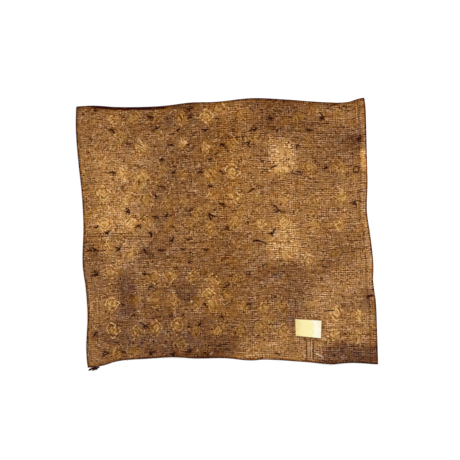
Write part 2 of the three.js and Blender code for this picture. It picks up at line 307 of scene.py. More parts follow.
KNOT_ROWS = KnotRow.table(
    (-0.45, (7.5,), (-0.75, 3.5)), (-0.15, (0.5, 2.5, 4.75, 11), (3.5, 9.5), (1.75, 7.25)),
    (0.3, (-1, 1, 5.5), (0, 2, 3, 4.25, 6.5, 9)), (0.65, (-1, 8.5), (), (11.25,)),
    (0.87, (3.5, 6.5), (0.75, 2.75, 5, 6.25, 8.5)), (1.2, (-1, 4.25, 4.75)),
    (1.47, (0.5, 6.75, 8, 9.25), (2.25, 4.5)), (1.78, (1.25, 5.75), (9.75,)),
    (1.93, (6.25,), (0, 2.75, 4, 5, 8.5)), (2.5, (0.5,), (2.25, 4.5)), (2.85, (1, 3.5), (2,)),
    (3.12, (7.75,), (5, 11)), (3.4, (5.5,), (0.75, 3.5, 7.5)), (3.6, (), (2, 2.5, 4.5)),
    (4, (0.25, 2.75, 3.75, 9), (-0.75, 1.25, 5.25)), (4.25, (11.5,), (-0.25, 1.75, 7.25)),
    (4.5, (), (2.75, 3.5)), (4.9, (), (-0.75, 0.25, 2.25, 3.25, 4.25), (1.5,)), (5.4, (), (3.5,)),
    (5.85, (1.75, 3.25, 4, 6.25), (-0.75,), (1.5,)), (6.27, (2.75, 3.75), (1.75, 5.25)),
    (6.65, (10.5,), (4.5,), (11.75,)), (6.95, (1.5, 10.5), (0.5, 4.25, 6.25)),
    (7.42, (1, 2, 3.25), (2.75, 5)), (7.8, (0, 8.25), (1.5, 3.5, 4)), (8.12, (10.5,), (-0.75,)),
    (8.42, (1, 2.75)), (8.82, (7.5,), (-0.25, 0.5, 1.75, 2.75, 3.5, 4.25)),
)


SCATTER = (12.9898, 78.233, 37.719)
SCATTER_SIZE = 43758.5453


def spread(column: float, row: float, salt: int) -> float:
    """A repeatable scatter from -1 to 1, the same that the knots' places on the solid have."""
    wave = math.sin(column * SCATTER[0] + row * SCATTER[1] + salt * SCATTER[2]) * SCATTER_SIZE
    return 2 * (wave - math.floor(wave)) - 1


@dataclass(frozen=True)
class Knot:
    """One tied-off knot where it lies on the cloth."""

    kind: KnotKind
    x: float
    y: float
    turn: float

    STRAY: ClassVar[float] = 2 * MM
    TWIST: ClassVar[float] = 1.3

    @classmethod
    def chart(cls) -> Iterator["Knot"]:
        """Every knot of the chart, strayed a little from its place.

        Yields:
            The knots, line by line.
        """
        for line in KNOT_ROWS:
            for kind, column in line.knots():
                x, y = LATTICE.place(column, line.at)
                aside, down, twist = (spread(column, line.at, salt) for salt in (1, 2, 3))
                yield cls(kind, x + cls.STRAY * aside, y + cls.STRAY * down, cls.TWIST * twist**3)


@dataclass(frozen=True)
class Motif(Charted):
    """One lozenge: its lattice column and row, and how plainly it shows, from 0 to 1."""

    column: float
    row: float
    strength: float


MOTIFS = Motif.table(
    (0.05, -0.05, 1), (1, -0.15, 0.4), (2.05, -0.15, 0.4), (3.2, -0.1, 0.9), (4.3, -0.2, 1),
    (4.85, -0.5, 0.6), (5.9, -0.3, 0.4), (8.6, -0.2, 0.3), (10.3, -0.3, 0.5), (0.4, 0.55, 0.3),
    (2.2, 0.4, 0.3), (1.3, 0.95, 1), (3.25, 0.85, 1), (4.3, 1, 1), (5.5, 0.85, 0.7), (6.6, 0.6, 0.5),
    (9, 0.8, 0.2), (-0.5, 1.4, 0.4), (0.5, 2, 0.8), (1.4, 2.1, 0.8), (2.3, 1.9, 0.3), (3.2, 2, 0.4),
    (4.5, 2, 0.7), (5.5, 1.9, 1), (7.7, 1.9, 0.6), (9, 1.75, 0.6), (10.4, 1.75, 0.7), (-0.4, 2.75, 0.9),
    (0.7, 2.9, 0.6), (1.2, 2.5, 0.5), (1.6, 3, 0.4), (2.6, 3.1, 0.5), (3.3, 3, 0.4), (4.6, 2.8, 0.6),
    (5.6, 2.85, 0.9), (6.6, 2.9, 0.4), (7.8, 2.95, 0.7), (9.3, 3.05, 0.4), (10.45, 2.85, 0.9),
    (4, 3.4, 0.3), (5.9, 3.5, 0.4), (-0.35, 3.9, 1), (0.85, 3.85, 0.9), (1.65, 3.9, 0.5),
    (2.65, 4, 0.5), (3.6, 3.9, 0.3), (4.5, 4.1, 0.6), (5.6, 3.9, 0.6), (6.75, 3.9, 0.8),
    (7.9, 3.9, 0.9), (9.2, 4, 0.5), (10.4, 3.95, 0.9), (11.4, 4, 0.4), (-0.2, 4.8, 0.6), (0.9, 5, 0.5),
    (4.7, 4.9, 0.3), (6.2, 4.9, 0.3), (8, 5.1, 0.6), (9, 5.3, 0.6), (10.2, 5, 0.2), (5.6, 5.35, 0.4),
    (-0.05, 5.75, 0.7), (1.95, 5.9, 0.6), (2.7, 5.85, 0.6), (3.7, 5.95, 0.7), (4.65, 6.05, 0.8),
    (5.8, 6, 0.5), (4.4, 6.6, 0.8), (5.3, 6.6, 0.4), (0, 6.95, 1), (1.1, 6.8, 0.5), (1.9, 6.8, 0.5),
    (2.8, 6.85, 0.6), (4.6, 6.95, 0.6), (5.85, 7, 0.7), (6.9, 7.1, 0.9), (9.25, 6.95, 0.4),
    (10.25, 7.3, 0.9), (11.25, 7.35, 0.9), (0.05, 7.95, 1), (1.1, 8, 0.7), (2, 7.85, 0.8),
    (2.95, 7.8, 0.8), (4.8, 7.95, 0.8), (5.9, 7.95, 0.6), (6.8, 7.85, 0.5), (10.1, 8.1, 0.7),
    (11.2, 8.2, 0.6), (0.2, 8.85, 0.6), (1, 8.8, 0.4), (3.15, 8.5, 0.4), (4.2, 8.7, 0.3),
    (3.8, 6.9, 0.3), (5.45, 7.35, 0.3), (7.8, 7.05, 0.6), (7.2, 7.5, 0.3), (3.8, 7.95, 0.5),
    (7.8, 8, 0.6),
)


@dataclass(frozen=True)
class Wave:
    """A wave along one direction whose crests sway along another."""

    number: float
    sway: float
    turns: float

    def at(self, along: Array, aside: Array) -> Array:
        """The wave's height, from -1 to 1."""
        return np.sin(self.number * along + self.sway * np.sin(self.turns * aside))


@dataclass(frozen=True)
class Band:
    """A stretch between two depths that fades in and out over a soft edge."""

    low: float
    high: float
    soft: float

    def at(self, depth: Array) -> Array:
        """How much of the band lies at each depth, from 0 to 1."""
        rising, falling = (depth - self.low) / self.soft, (self.high - depth) / self.soft
        return np.clip(rising + 0.5, 0, 1) * np.clip(falling + 0.5, 0, 1)


def ramped(values: Array, start: float, length: float) -> Array:
    """A rise from 0 at the start to 1 after the length."""
    return np.clip((values - start) / length, 0, 1)


@dataclass(frozen=True)
class ToneField:
    """The cloth's tone and warmth from place to place: patches, mottling, motifs and a soft darkening
    around each knot.
    """

    base: float = 0.505
    mean_warmth: float = 0.6
    tone_warmth: float = 1.8
    patch_sway: float = 0.1
    column_sway: Wave = Wave(2.3, 1.4, 1.9)
    row_sway: Wave = Wave(2.7, 1.6, 2.1)
    motif_radius: float = 23 * MM
    motif_edge: float = 1.8
    motif_lift: float = 0.045
    motif_warmth: float = 0.5
    mottle: float = 0.02
    mottle_waves: tuple[Wave, Wave] = (Wave(5.1, 2.2, 3.7), Wave(4.3, 1.9, 4.9))
    knot_darkening: float = -0.09
    knot_darkening_radius: float = 6.5 * MM
    hue_clouds: float = 0.1
    cloud_size: Pair = (16 * MM, 60 * MM)
    waves: int = 40
    bare_left: float = 0.72
    bare_middle: float = 0.15
    middle_row: Pair = (5.2, 1.3)
    bare_columns: Pair = (3, 4)
    seed: int = 5

    def clouds(self, x: Array, y: Array) -> Array:
        """Soft clouds around 0, made of many crossing waves.

        Args:
            x: the points' x.
            y: the points' y.

        Returns:
            The clouds at each point.
        """
        rng = np.random.default_rng(self.seed)
        total = np.zeros_like(x)
        for _ in range(self.waves):
            turn, phase = rng.uniform(0, 2 * math.pi, 2)
            number = 2 * math.pi / rng.uniform(*self.cloud_size)
            total += np.sin(number * (x * math.cos(turn) + y * math.sin(turn)) + phase)
        return total * math.sqrt(2 / self.waves)

    def motif(self, x: Array, y: Array) -> Array:
        """How strongly a lozenge shows.

        Args:
            x: the points' x.
            y: the points' y.

        Returns:
            The strength at each point, from 0 to 1.
        """
        found = np.zeros_like(x)
        for motif in MOTIFS:
            across, down = LATTICE.place(motif.column, motif.row)
            far = (np.abs(x - across) + np.abs(y - down)) / self.motif_radius
            found = np.maximum(found, motif.strength * np.clip(self.motif_edge * (1 - far), 0, 1))
        return found

    def tone(self, x: Array, y: Array) -> Array:
        """The cloth's tone.

        Args:
            x: the points' x.
            y: the points' y.

        Returns:
            The tone at each point.
        """
        column, row = LATTICE.count(x, y)
        swayed = column + self.patch_sway * self.column_sway.at(row, column)
        shifted = row + self.patch_sway * self.row_sway.at(column, row)
        total = np.full_like(column, self.base)
        for patch in FADED + DARKENED:
            total += patch.weight(swayed, shifted)
        first, second = self.mottle_waves
        ripple = first.at(column, row) * second.at(row, column)
        total += self.mottle * ripple + self.motif_lift * self.motif(x, y)
        for knot in Knot.chart():
            reach = self.knot_darkening_radius * knot.kind.value[0] / KnotKind.FULL.value[0]
            near = ((x - knot.x) ** 2 + (y - knot.y) ** 2) / reach**2
            total += self.knot_darkening * np.exp(-near)
        return total

    def warmth(self, x: Array, y: Array) -> Array:
        """The cloth's warmth.

        Args:
            x: the points' x.
            y: the points' y.

        Returns:
            The warmth at each point.
        """
        column, row = LATTICE.count(x, y)
        tinted = sum(patch.weight(column, row) for patch in TINTED)
        toned = self.tone_warmth * (self.tone(x, y) - self.base)
        stitched = self.motif_warmth * self.motif(x, y)
        return self.mean_warmth + tinted + toned + stitched + self.hue_clouds * self.clouds(x, y)

    def plainness(self, x: Array, y: Array) -> Array:
        """How bare the weave is: less on the stitched left half, more in its middle, wholly on the right.

        Args:
            x: the points' x.
            y: the points' y.

        Returns:
            The plainness at each point, from 0 to 1.
        """
        column, row = LATTICE.count(x, y)
        middle, reach = self.middle_row
        bare = self.bare_left + self.bare_middle * np.exp(-(((row - middle) / reach) ** 2))
        return bare + (1 - bare) * ramped(column, *self.bare_columns)


TONES = ToneField()


class Graph:
    """A material's node tree, with short calls for the nodes that the finishes share."""

    NOISE_ROUGHNESS: ClassVar[float] = 0.6

    def __init__(self, name: str) -> None:
        """Starts a material with its main shader.

        Args:
            name: the material's name.
        """
        self.material = bpy.data.materials.new(name)
        self.material.use_nodes = True
        self.tree = self.material.node_tree
        self.shader = self.tree.nodes["Principled BSDF"]

    def add(self, kind: str, **settings: object) -> bpy.types.Node:
        """Adds a node and sets its plain properties.

        Args:
            kind: the node's type name.
            settings: the properties to set on it.

        Returns:
            The new node.
        """
        node = self.tree.nodes.new(kind)
        for key, value in settings.items():
            setattr(node, key, value)
        return node

    def feed(self, socket: Socket, value: object) -> None:
        """Links another socket into this one, or sets a constant on it.

        Args:
            socket: the socket that is fed.
            value: the other socket or the constant.
        """
        if isinstance(value, Socket):
            self.tree.links.new(value, socket)
        else:
            socket.default_value = value

    def sums(self, kind: str, first: object, second: object = 0.0) -> Socket:
        """One step of arithmetic.

        Args:
            kind: the operation, such as ADD or MULTIPLY.
            first: the first number or socket.
            second: the second number or socket, where the operation takes one.

        Returns:
            The socket with the result.
        """
        node = self.add("ShaderNodeMath", operation=kind)
        self.feed(node.inputs[0], first)
        self.feed(node.inputs[1], second)
        return node.outputs[0]

    def times(self, first: object, second: object) -> Socket:
        """The product of two numbers or sockets."""
        return self.sums("MULTIPLY", first, second)

    def line(self, source: Socket, slope: object, start: object) -> Socket:
        """A socket times a slope, plus a start."""
        return self.sums("ADD", self.times(source, slope), start)

    def pile(self, total: Socket, shares: Iterable[tuple[Socket, float]]) -> Socket:
        """A total to which shares of other sockets are added one by one."""
        return reduce(lambda so_far, share: self.line(*share, so_far), shares, total)

    def noise(self, place: Socket, grain: Grain) -> Socket:
        """Soft noise from about -0.5 to 0.5, still without its amount.

        Args:
            place: the coordinates, in metres.
            grain: the layer of noise.

        Returns:
            The socket with the noise, centred on 0.
        """
        mapping = self.add("ShaderNodeMapping")
        self.feed(mapping.inputs["Vector"], place)
        mapping.inputs["Scale"].default_value = grain.scale
        node = self.add("ShaderNodeTexNoise", noise_dimensions="3D")
        self.feed(node.inputs["Vector"], mapping.outputs["Vector"])
        node.inputs["Scale"].default_value = 1.0
        node.inputs["Detail"].default_value = grain.detail
        node.inputs["Roughness"].default_value = self.NOISE_ROUGHNESS
        return self.sums("SUBTRACT", node.outputs["Fac"], 0.5)

    def dice(self, first: Socket, second: Socket) -> Socket:
        """A number that is drawn anew for each pair of whole numbers.

        Args:
            first: the first whole number.
            second: the second whole number.

        Returns:
            The socket with the number, from 0 to 1.
        """
        pair = self.add("ShaderNodeCombineXYZ")
        self.feed(pair.inputs["X"], first)
        self.feed(pair.inputs["Y"], second)
        node = self.add("ShaderNodeTexWhiteNoise", noise_dimensions="2D")
        self.feed(node.inputs["Vector"], pair.outputs[0])
        return node.outputs["Value"]

    def ramp(self, factor: Socket, stops: list[tuple[float, Colour]]) -> Socket:
        """A colour ramp.

        Args:
            factor: where on the ramp the colour is read, from 0 to 1.
            stops: the places and colours that the ramp runs through.

        Returns:
            The socket with the colour.
        """
        node = self.add("ShaderNodeValToRGB")
        self.feed(node.inputs["Fac"], factor)
        elements = node.color_ramp.elements
        while len(elements) < len(stops):
            elements.new(0.5)
        for element, (at, colour) in zip(elements, stops):
            element.position = at
            element.color = (*colour, 1.0)
        return node.outputs["Color"]

    def dyed(self, tone: Socket, warmth: Socket) -> Socket:
        """The raffia's colour, as the dye paints it.

        Args:
            tone: the tone.
            warmth: the warmth.

        Returns:
            The socket with the linear colour.
        """
        share = self.sums("DIVIDE", self.sums("SUBTRACT", warmth, 0.5), DYE.range)
        mixed = self.add("ShaderNodeMix", data_type="RGBA", clamp_factor=True)
        ports = {port.identifier: port for port in (*mixed.inputs, *mixed.outputs)}
        self.feed(ports["Factor_Float"], self.sums("ADD", share, 0.5))
        self.feed(ports["A_Color"], self.ramp(tone, DYE.stops(DYE.mauve)))
        self.feed(ports["B_Color"], self.ramp(tone, DYE.stops(DYE.golden)))
        node = self.add("ShaderNodeGamma")
        self.feed(node.inputs["Color"], ports["Result_Color"])
        node.inputs["Gamma"].default_value = DYE.gamma
        return node.outputs["Color"]

    def tinged(self, colour: Socket) -> Socket:
        """A colour that leans to olive here and to pink there, in soft patches.

        Args:
            colour: the colour before.

        Returns:
            The socket with the leaning colour.
        """
        place = self.add("ShaderNodeTexCoord").outputs["Object"]
        lean = self.noise(place, DYE.tinge)
        factors = self.add("ShaderNodeCombineXYZ")
        for port, share in zip(factors.inputs, DYE.tinge_lean):
            self.feed(port, self.line(lean, DYE.tinge.amount * share, 1.0))
        node = self.add("ShaderNodeVectorMath", operation="MULTIPLY")
        self.feed(node.inputs[0], colour)
        self.feed(node.inputs[1], factors.outputs[0])
        return node.outputs[0]

    def surface(self, colour: Socket, roughness: Socket, specular: float) -> None:
        """Sets the surface's colour and how rough and how shiny it is.

        Args:
            colour: its linear colour.
            roughness: its roughness, from 0 to 1.
            specular: how strongly it shines.
        """
        self.feed(self.shader.inputs["Base Color"], colour)
        self.feed(self.shader.inputs["Roughness"], roughness)
        self.shader.inputs["Specular IOR Level"].default_value = specular

    def bump(self, height: Socket, distance: float, strength: float) -> None:
        """Raises the surface's shading.

        Args:
            height: how high each place stands.
            distance: the height of 1, in metres.
            strength: how much of it shows.
        """
        node = self.add("ShaderNodeBump")
        self.feed(node.inputs["Height"], height)
        node.inputs["Distance"].default_value = distance
        node.inputs["Strength"].default_value = strength
        self.feed(self.shader.inputs["Normal"], node.outputs["Normal"])


@dataclass(frozen=True)
class WovenFinish:
    """Plain-woven raffia: flat strips that pass over and under each other, streaked and unevenly dyed, with
    painted shade in the gaps between strips, painted shading on each crossing, and a rim darkened by
    painted shade and some dirt.
    """

    name: str = "woven_raffia"
    weft: float = 4.4 * MM
    warp: float = 4.7 * MM
    weft_wander: Grain = Grain((12, 15, 1), 2.0, 9 * MM)
    warp_wander: Grain = Grain((17, 11, 1), 2.0, 9 * MM)
    grain: Grain = Grain((470, 470, 1), 1.0, 0.7)
    weft_hatch: Grain = Grain((165, 500, 3), 1.0, 1.85)
    warp_hatch: Grain = Grain((350, 120, 5), 1.0, 0.95)
    unevenness: Grain = Grain((50, 60, 4), 2.0, 5.0)
    evenness: float = 0.85
    calm: Pair = (0.2, 2.0)
    plain_calm: Pair = (0.22, 0.53)
    dark_calm: float = 0.5
    palest: float = 0.3
    cell_shade: float = 0.08
    bulge_shading_amount: float = 0.45
    bulge_across: Pair = (0.55, 0.45)
    bulge_luck: float = 1.6
    weft_streak: Grain = Grain((11, 480, 1), 2.0, 1.4)
    warp_streak: Grain = Grain((470, 60, 1), 2.0, 0.35)
    patchy: Grain = Grain((85, 105, 1), 1.0, 0.3)
    weft_gap_shade: float = 0.1
    warp_gap_shade: float = 0.08
    gap_run: float = 9.0
    gap_power: float = 2.0
    gap_luck: float = 0.3
    crossing_gap_shade: float = 0.08
    rim_shade_and_dirt: float = 0.6
    edge_warmth: float = 0.4
    roughness: Pair = (0.4, 0.8)
    specular: float = 0.04
    streak_height: float = 1.5
    bump: Pair = (0.5 * MM, 0.5)

    def material(self) -> Material:
        """Makes the material, which reads the cloth's weave map and tone attribute.

        Returns:
            The new material.
        """
        graph = Graph(self.name)
        weave = graph.add("ShaderNodeUVMap", uv_map="weave").outputs["UV"]
        attribute = graph.add("ShaderNodeAttribute", attribute_name="tone")
        bands = graph.add("ShaderNodeSeparateColor")
        graph.feed(bands.inputs["Color"], attribute.outputs["Color"])
        base, warmth, edge = bands.outputs
        plain = attribute.outputs["Alpha"]
        streak = graph.noise(weave, self.weft_streak)
        hatched, height = self.hatching(graph, weave, plain, streak)
        low, high = self.calm
        lively = graph.line(graph.noise(weave, self.unevenness), self.unevenness.amount, self.evenness)
        lively = graph.sums("MINIMUM", graph.sums("MAXIMUM", lively, low), high)
        lively = graph.times(lively, graph.line(plain, *self.plain_calm))
        lively = graph.times(lively, graph.sums("ADD", base, self.dark_calm))
        hatched = graph.sums("MINIMUM", graph.times(hatched, lively), self.palest)
        tone = graph.sums("ADD", base, hatched)
        cloud = graph.noise(weave, self.patchy)
        # The rim band darkens the outermost few millimetres: painted shade of the curved rim, with some
        # dirt; edge_warmth makes it browner.
        tone = graph.pile(tone, ((cloud, self.patchy.amount), (edge, -self.rim_shade_and_dirt)))
        colour = graph.tinged(graph.dyed(tone, graph.line(edge, self.edge_warmth, warmth)))
        graph.surface(colour, graph.line(streak, *self.roughness), self.specular)
        graph.bump(graph.line(streak, self.streak_height, height), *self.bump)
        return graph.material

    def hatching(self, graph: Graph, weave: Socket, plain: Socket,
                 streak: Socket) -> tuple[Socket, Socket]:
        """The hatching of strips and streaks.

        Args:
            graph: the material's nodes.
            weave: the cloth's own map, in metres.
            plain: how bare the weave is.
            streak: the streaks along the weft.

        Returns:
            How much paler than the cloth each place is, and the strips' height.
        """
        shade, gap_shade, height, bulge_shading = self.strips(graph, weave)
        hatched = graph.times(graph.noise(weave, self.grain), self.grain.amount)
        hatches = (self.weft_hatch, self.warp_hatch)
        hatched = graph.pile(hatched, ((graph.noise(weave, grain), grain.amount) for grain in hatches))
        shares = (
            (shade, self.cell_shade),
            (graph.times(bulge_shading, plain), self.bulge_shading_amount),
            (graph.times(streak, plain), self.weft_streak.amount),
            (graph.noise(weave, self.warp_streak), self.warp_streak.amount),
            (graph.times(gap_shade, plain), -1.0),
        )
        return graph.pile(hatched, shares), height

    def strips(self, graph: Graph, weave: Socket) -> tuple[Socket, ...]:
        """The woven strips.

        Args:
            graph: the material's nodes.
            weave: the cloth's own map, in metres.

        Returns:
            Each crossing's own shade around 0, the painted shade in the gaps between strips, the strips'
            height, and the painted shading that lightens the middle of each crossing's bulge.
        """
        axes = graph.add("ShaderNodeSeparateXYZ")
        graph.feed(axes.inputs[0], weave)
        ways = []
        for axis, pitch, wander in (("Y", self.weft, self.weft_wander), ("X", self.warp, self.warp_wander)):
            strayed = graph.line(graph.noise(weave, wander), wander.amount, axes.outputs[axis])
            ways.append(graph.sums("DIVIDE", strayed, pitch))
        shade = graph.sums("SUBTRACT", graph.dice(*(graph.sums("FLOOR", way) for way in ways)), 0.5)
        ridges, lows, lines = [], [], []
        for way, other in (ways, ways[::-1]):
            ridges.append(graph.sums("ABSOLUTE", graph.sums("SINE", graph.times(way, math.pi))))
            lows.append(graph.sums("SUBTRACT", 1.0, ridges[-1]))
            run = graph.sums("FLOOR", graph.sums("DIVIDE", other, self.gap_run))
            luck = graph.sums("ADD", graph.dice(graph.sums("ROUND", way), run), self.gap_luck)
            lines.append(graph.times(graph.sums("POWER", lows[-1], self.gap_power), luck))
        # The gaps between strips and at their crossings darken as the strips' height falls: painted shade
        # in the recesses of the weave.
        gap_shade = graph.times(graph.times(*lows), self.crossing_gap_shade)
        gap_shade = graph.pile(gap_shade, zip(lines, (self.weft_gap_shade, self.warp_gap_shade)))
        height = graph.sums("SUBTRACT", 2.0, graph.sums("ADD", *lows))
        # Each crossing is paler where both strips peak and darker toward its sides: painted shading of its
        # bulge.
        across = graph.line(ridges[1], *self.bulge_across)
        bulge_shading = graph.sums("SUBTRACT", graph.times(ridges[0], across), 0.5)
        bulge_shading = graph.times(bulge_shading, graph.line(shade, self.bulge_luck, 1.0))
        return shade, gap_shade, height, bulge_shading


@dataclass(frozen=True)
class StrandFinish:
    """Dyed raffia strands, coloured strand by strand, with fine fibres along them."""

    name: str
    fibre: Grain = Grain((900, 900, 900), 2.0, 0.25)
    roughness: Pair = (0.3, 0.75)
    specular: float = 0.04
    bump: Pair = (0.2 * MM, 0.4)

    def material(self) -> Material:
        """Makes the material, which reads each strand's own colour.

        Returns:
            The new material.
        """
        graph = Graph(self.name)
        colour = graph.add("ShaderNodeAttribute", attribute_name="dye").outputs["Color"]
        place = graph.add("ShaderNodeTexCoord").outputs["Object"]
        fibre = graph.noise(place, self.fibre)
        shaded = graph.add("ShaderNodeVectorMath", operation="SCALE")
        graph.feed(shaded.inputs[0], colour)
        graph.feed(shaded.inputs["Scale"], graph.line(fibre, self.fibre.amount, 1.0))
        colour = graph.tinged(shaded.outputs[0])
        graph.surface(colour, graph.line(fibre, *self.roughness), self.specular)
        graph.bump(fibre, *self.bump)
        return graph.material


@dataclass(frozen=True)
class LabelFinish:
    """A bare cream label, yellowed on its left and paler on its right."""

    name: str = "cream_label"
    steps: tuple[tuple[float, Colour], ...] = (
        (0.0, (236, 214, 140)),
        (0.2, (250, 236, 172)),
        (0.6, (250, 238, 176)),
        (0.82, (253, 250, 232)),
        (1.0, (246, 238, 206)),
    )
    cloud: Grain = Grain((4, 5, 1), 3.0, 0.8)
    grain: Grain = Grain((160, 110, 1))
    roughness: Pair = (0.2, 0.8)
    specular: float = 0.2
    bump: Pair = (0.15 * MM, 0.4)

    def material(self) -> Material:
        """Makes the material, which reads the label's own map from 0 to 1.

        Returns:
            The new material.
        """
        graph = Graph(self.name)
        face = graph.add("ShaderNodeUVMap", uv_map="face").outputs["UV"]
        axes = graph.add("ShaderNodeSeparateXYZ")
        graph.feed(axes.inputs[0], face)
        across = graph.line(graph.noise(face, self.cloud), self.cloud.amount, axes.outputs["X"])
        stops = [(at, tuple(v / DYE.exposure for v in linear(colour))) for at, colour in self.steps]
        grain = graph.noise(face, self.grain)
        graph.surface(graph.ramp(across, stops), graph.line(grain, *self.roughness), self.specular)
        graph.bump(grain, *self.bump)
        return graph.material


@dataclass
class Batch:
    """Many small shapes gathered into one mesh, each with its own dye."""

    points: list[Array] = field(default_factory=list)
    faces: list[Array] = field(default_factory=list)
    dyes: list[Array] = field(default_factory=list)
    count: int = 0

    def add(self, points: Array, faces: Array, dyes: Array) -> None:
        """Adds one shape or a block of shapes.

        Args:
            points: the points, a row each.
            faces: triangles, as indices into those points.
            dyes: a colour for each point.
        """
        self.points.append(points)
        self.faces.append(faces + self.count)
        self.dyes.append(dyes)
        self.count += len(points)

    def piece(self, name: str, material: Material, slot: str) -> Piece:
        """Makes the gathered shapes one object that lies with the cloth.

        Args:
            name: the piece's name.
            material: its finish.
            slot: not used.

        Returns:
            The new object.
        """
        mesh = bpy.data.meshes.new(name)
        mesh.from_pydata(np.concatenate(self.points).tolist(), [], np.concatenate(self.faces).tolist())
        dye = mesh.attributes.new("dye", "FLOAT_COLOR", "POINT")
        dye.data.foreach_set("color", np.concatenate(self.dyes).astype(np.float32).ravel())
        return place_piece(mesh, name, material)


def place_piece(mesh: bpy.types.Mesh, name: str, material: Material) -> Piece:
    """Puts a finished mesh in the scene, riding with the cloth.

    Args:
        mesh: the mesh, with its place in its points.
        name: the piece's name.
        material: its finish.

    Returns:
        The new object.
    """
    mesh.materials.append(material)
    piece = bpy.data.objects.new(name, mesh)
    bpy.context.scene.collection.objects.link(piece)
    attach(piece, "root")
    log.info("%s: %d faces", name, len(mesh.polygons))
    return piece


def sheet_mesh(shape: bmesh.types.BMesh, name: str) -> bpy.types.Mesh:
    """Turns a shape's faces outwards and makes it a mesh.

    Args:
        shape: the shape, which is freed.
        name: the mesh's name.

    Returns:
        The new mesh.
    """
    bmesh.ops.recalc_face_normals(shape, faces=shape.faces)
    mesh = bpy.data.meshes.new(name)
    shape.to_mesh(mesh)
    shape.free()
    return mesh


def lower_face(shape: bmesh.types.BMesh) -> Iterator[bmesh.types.BMVert]:
    """Closes a flat grid to a sheet with two faces, and gives the points of the lower one."""
    lower = bmesh.ops.extrude_face_region(shape, geom=shape.faces[:], use_keep_orig=True)["geom"]
    yield from (part for part in lower if isinstance(part, bmesh.types.BMVert))


def small_shape(shape: bmesh.types.BMesh) -> tuple[Array, Array]:
    """Reads a small shape that is to be repeated, and frees it.

    Args:
        shape: the shape.

    Returns:
        Its points and its triangles.
    """
    bmesh.ops.triangulate(shape, faces=shape.faces[:])
    shape.verts.index_update()
    points = np.array([vert.co[:] for vert in shape.verts])
    faces = np.array([[vert.index for vert in face.verts] for face in shape.faces])
    shape.free()
    return points, faces


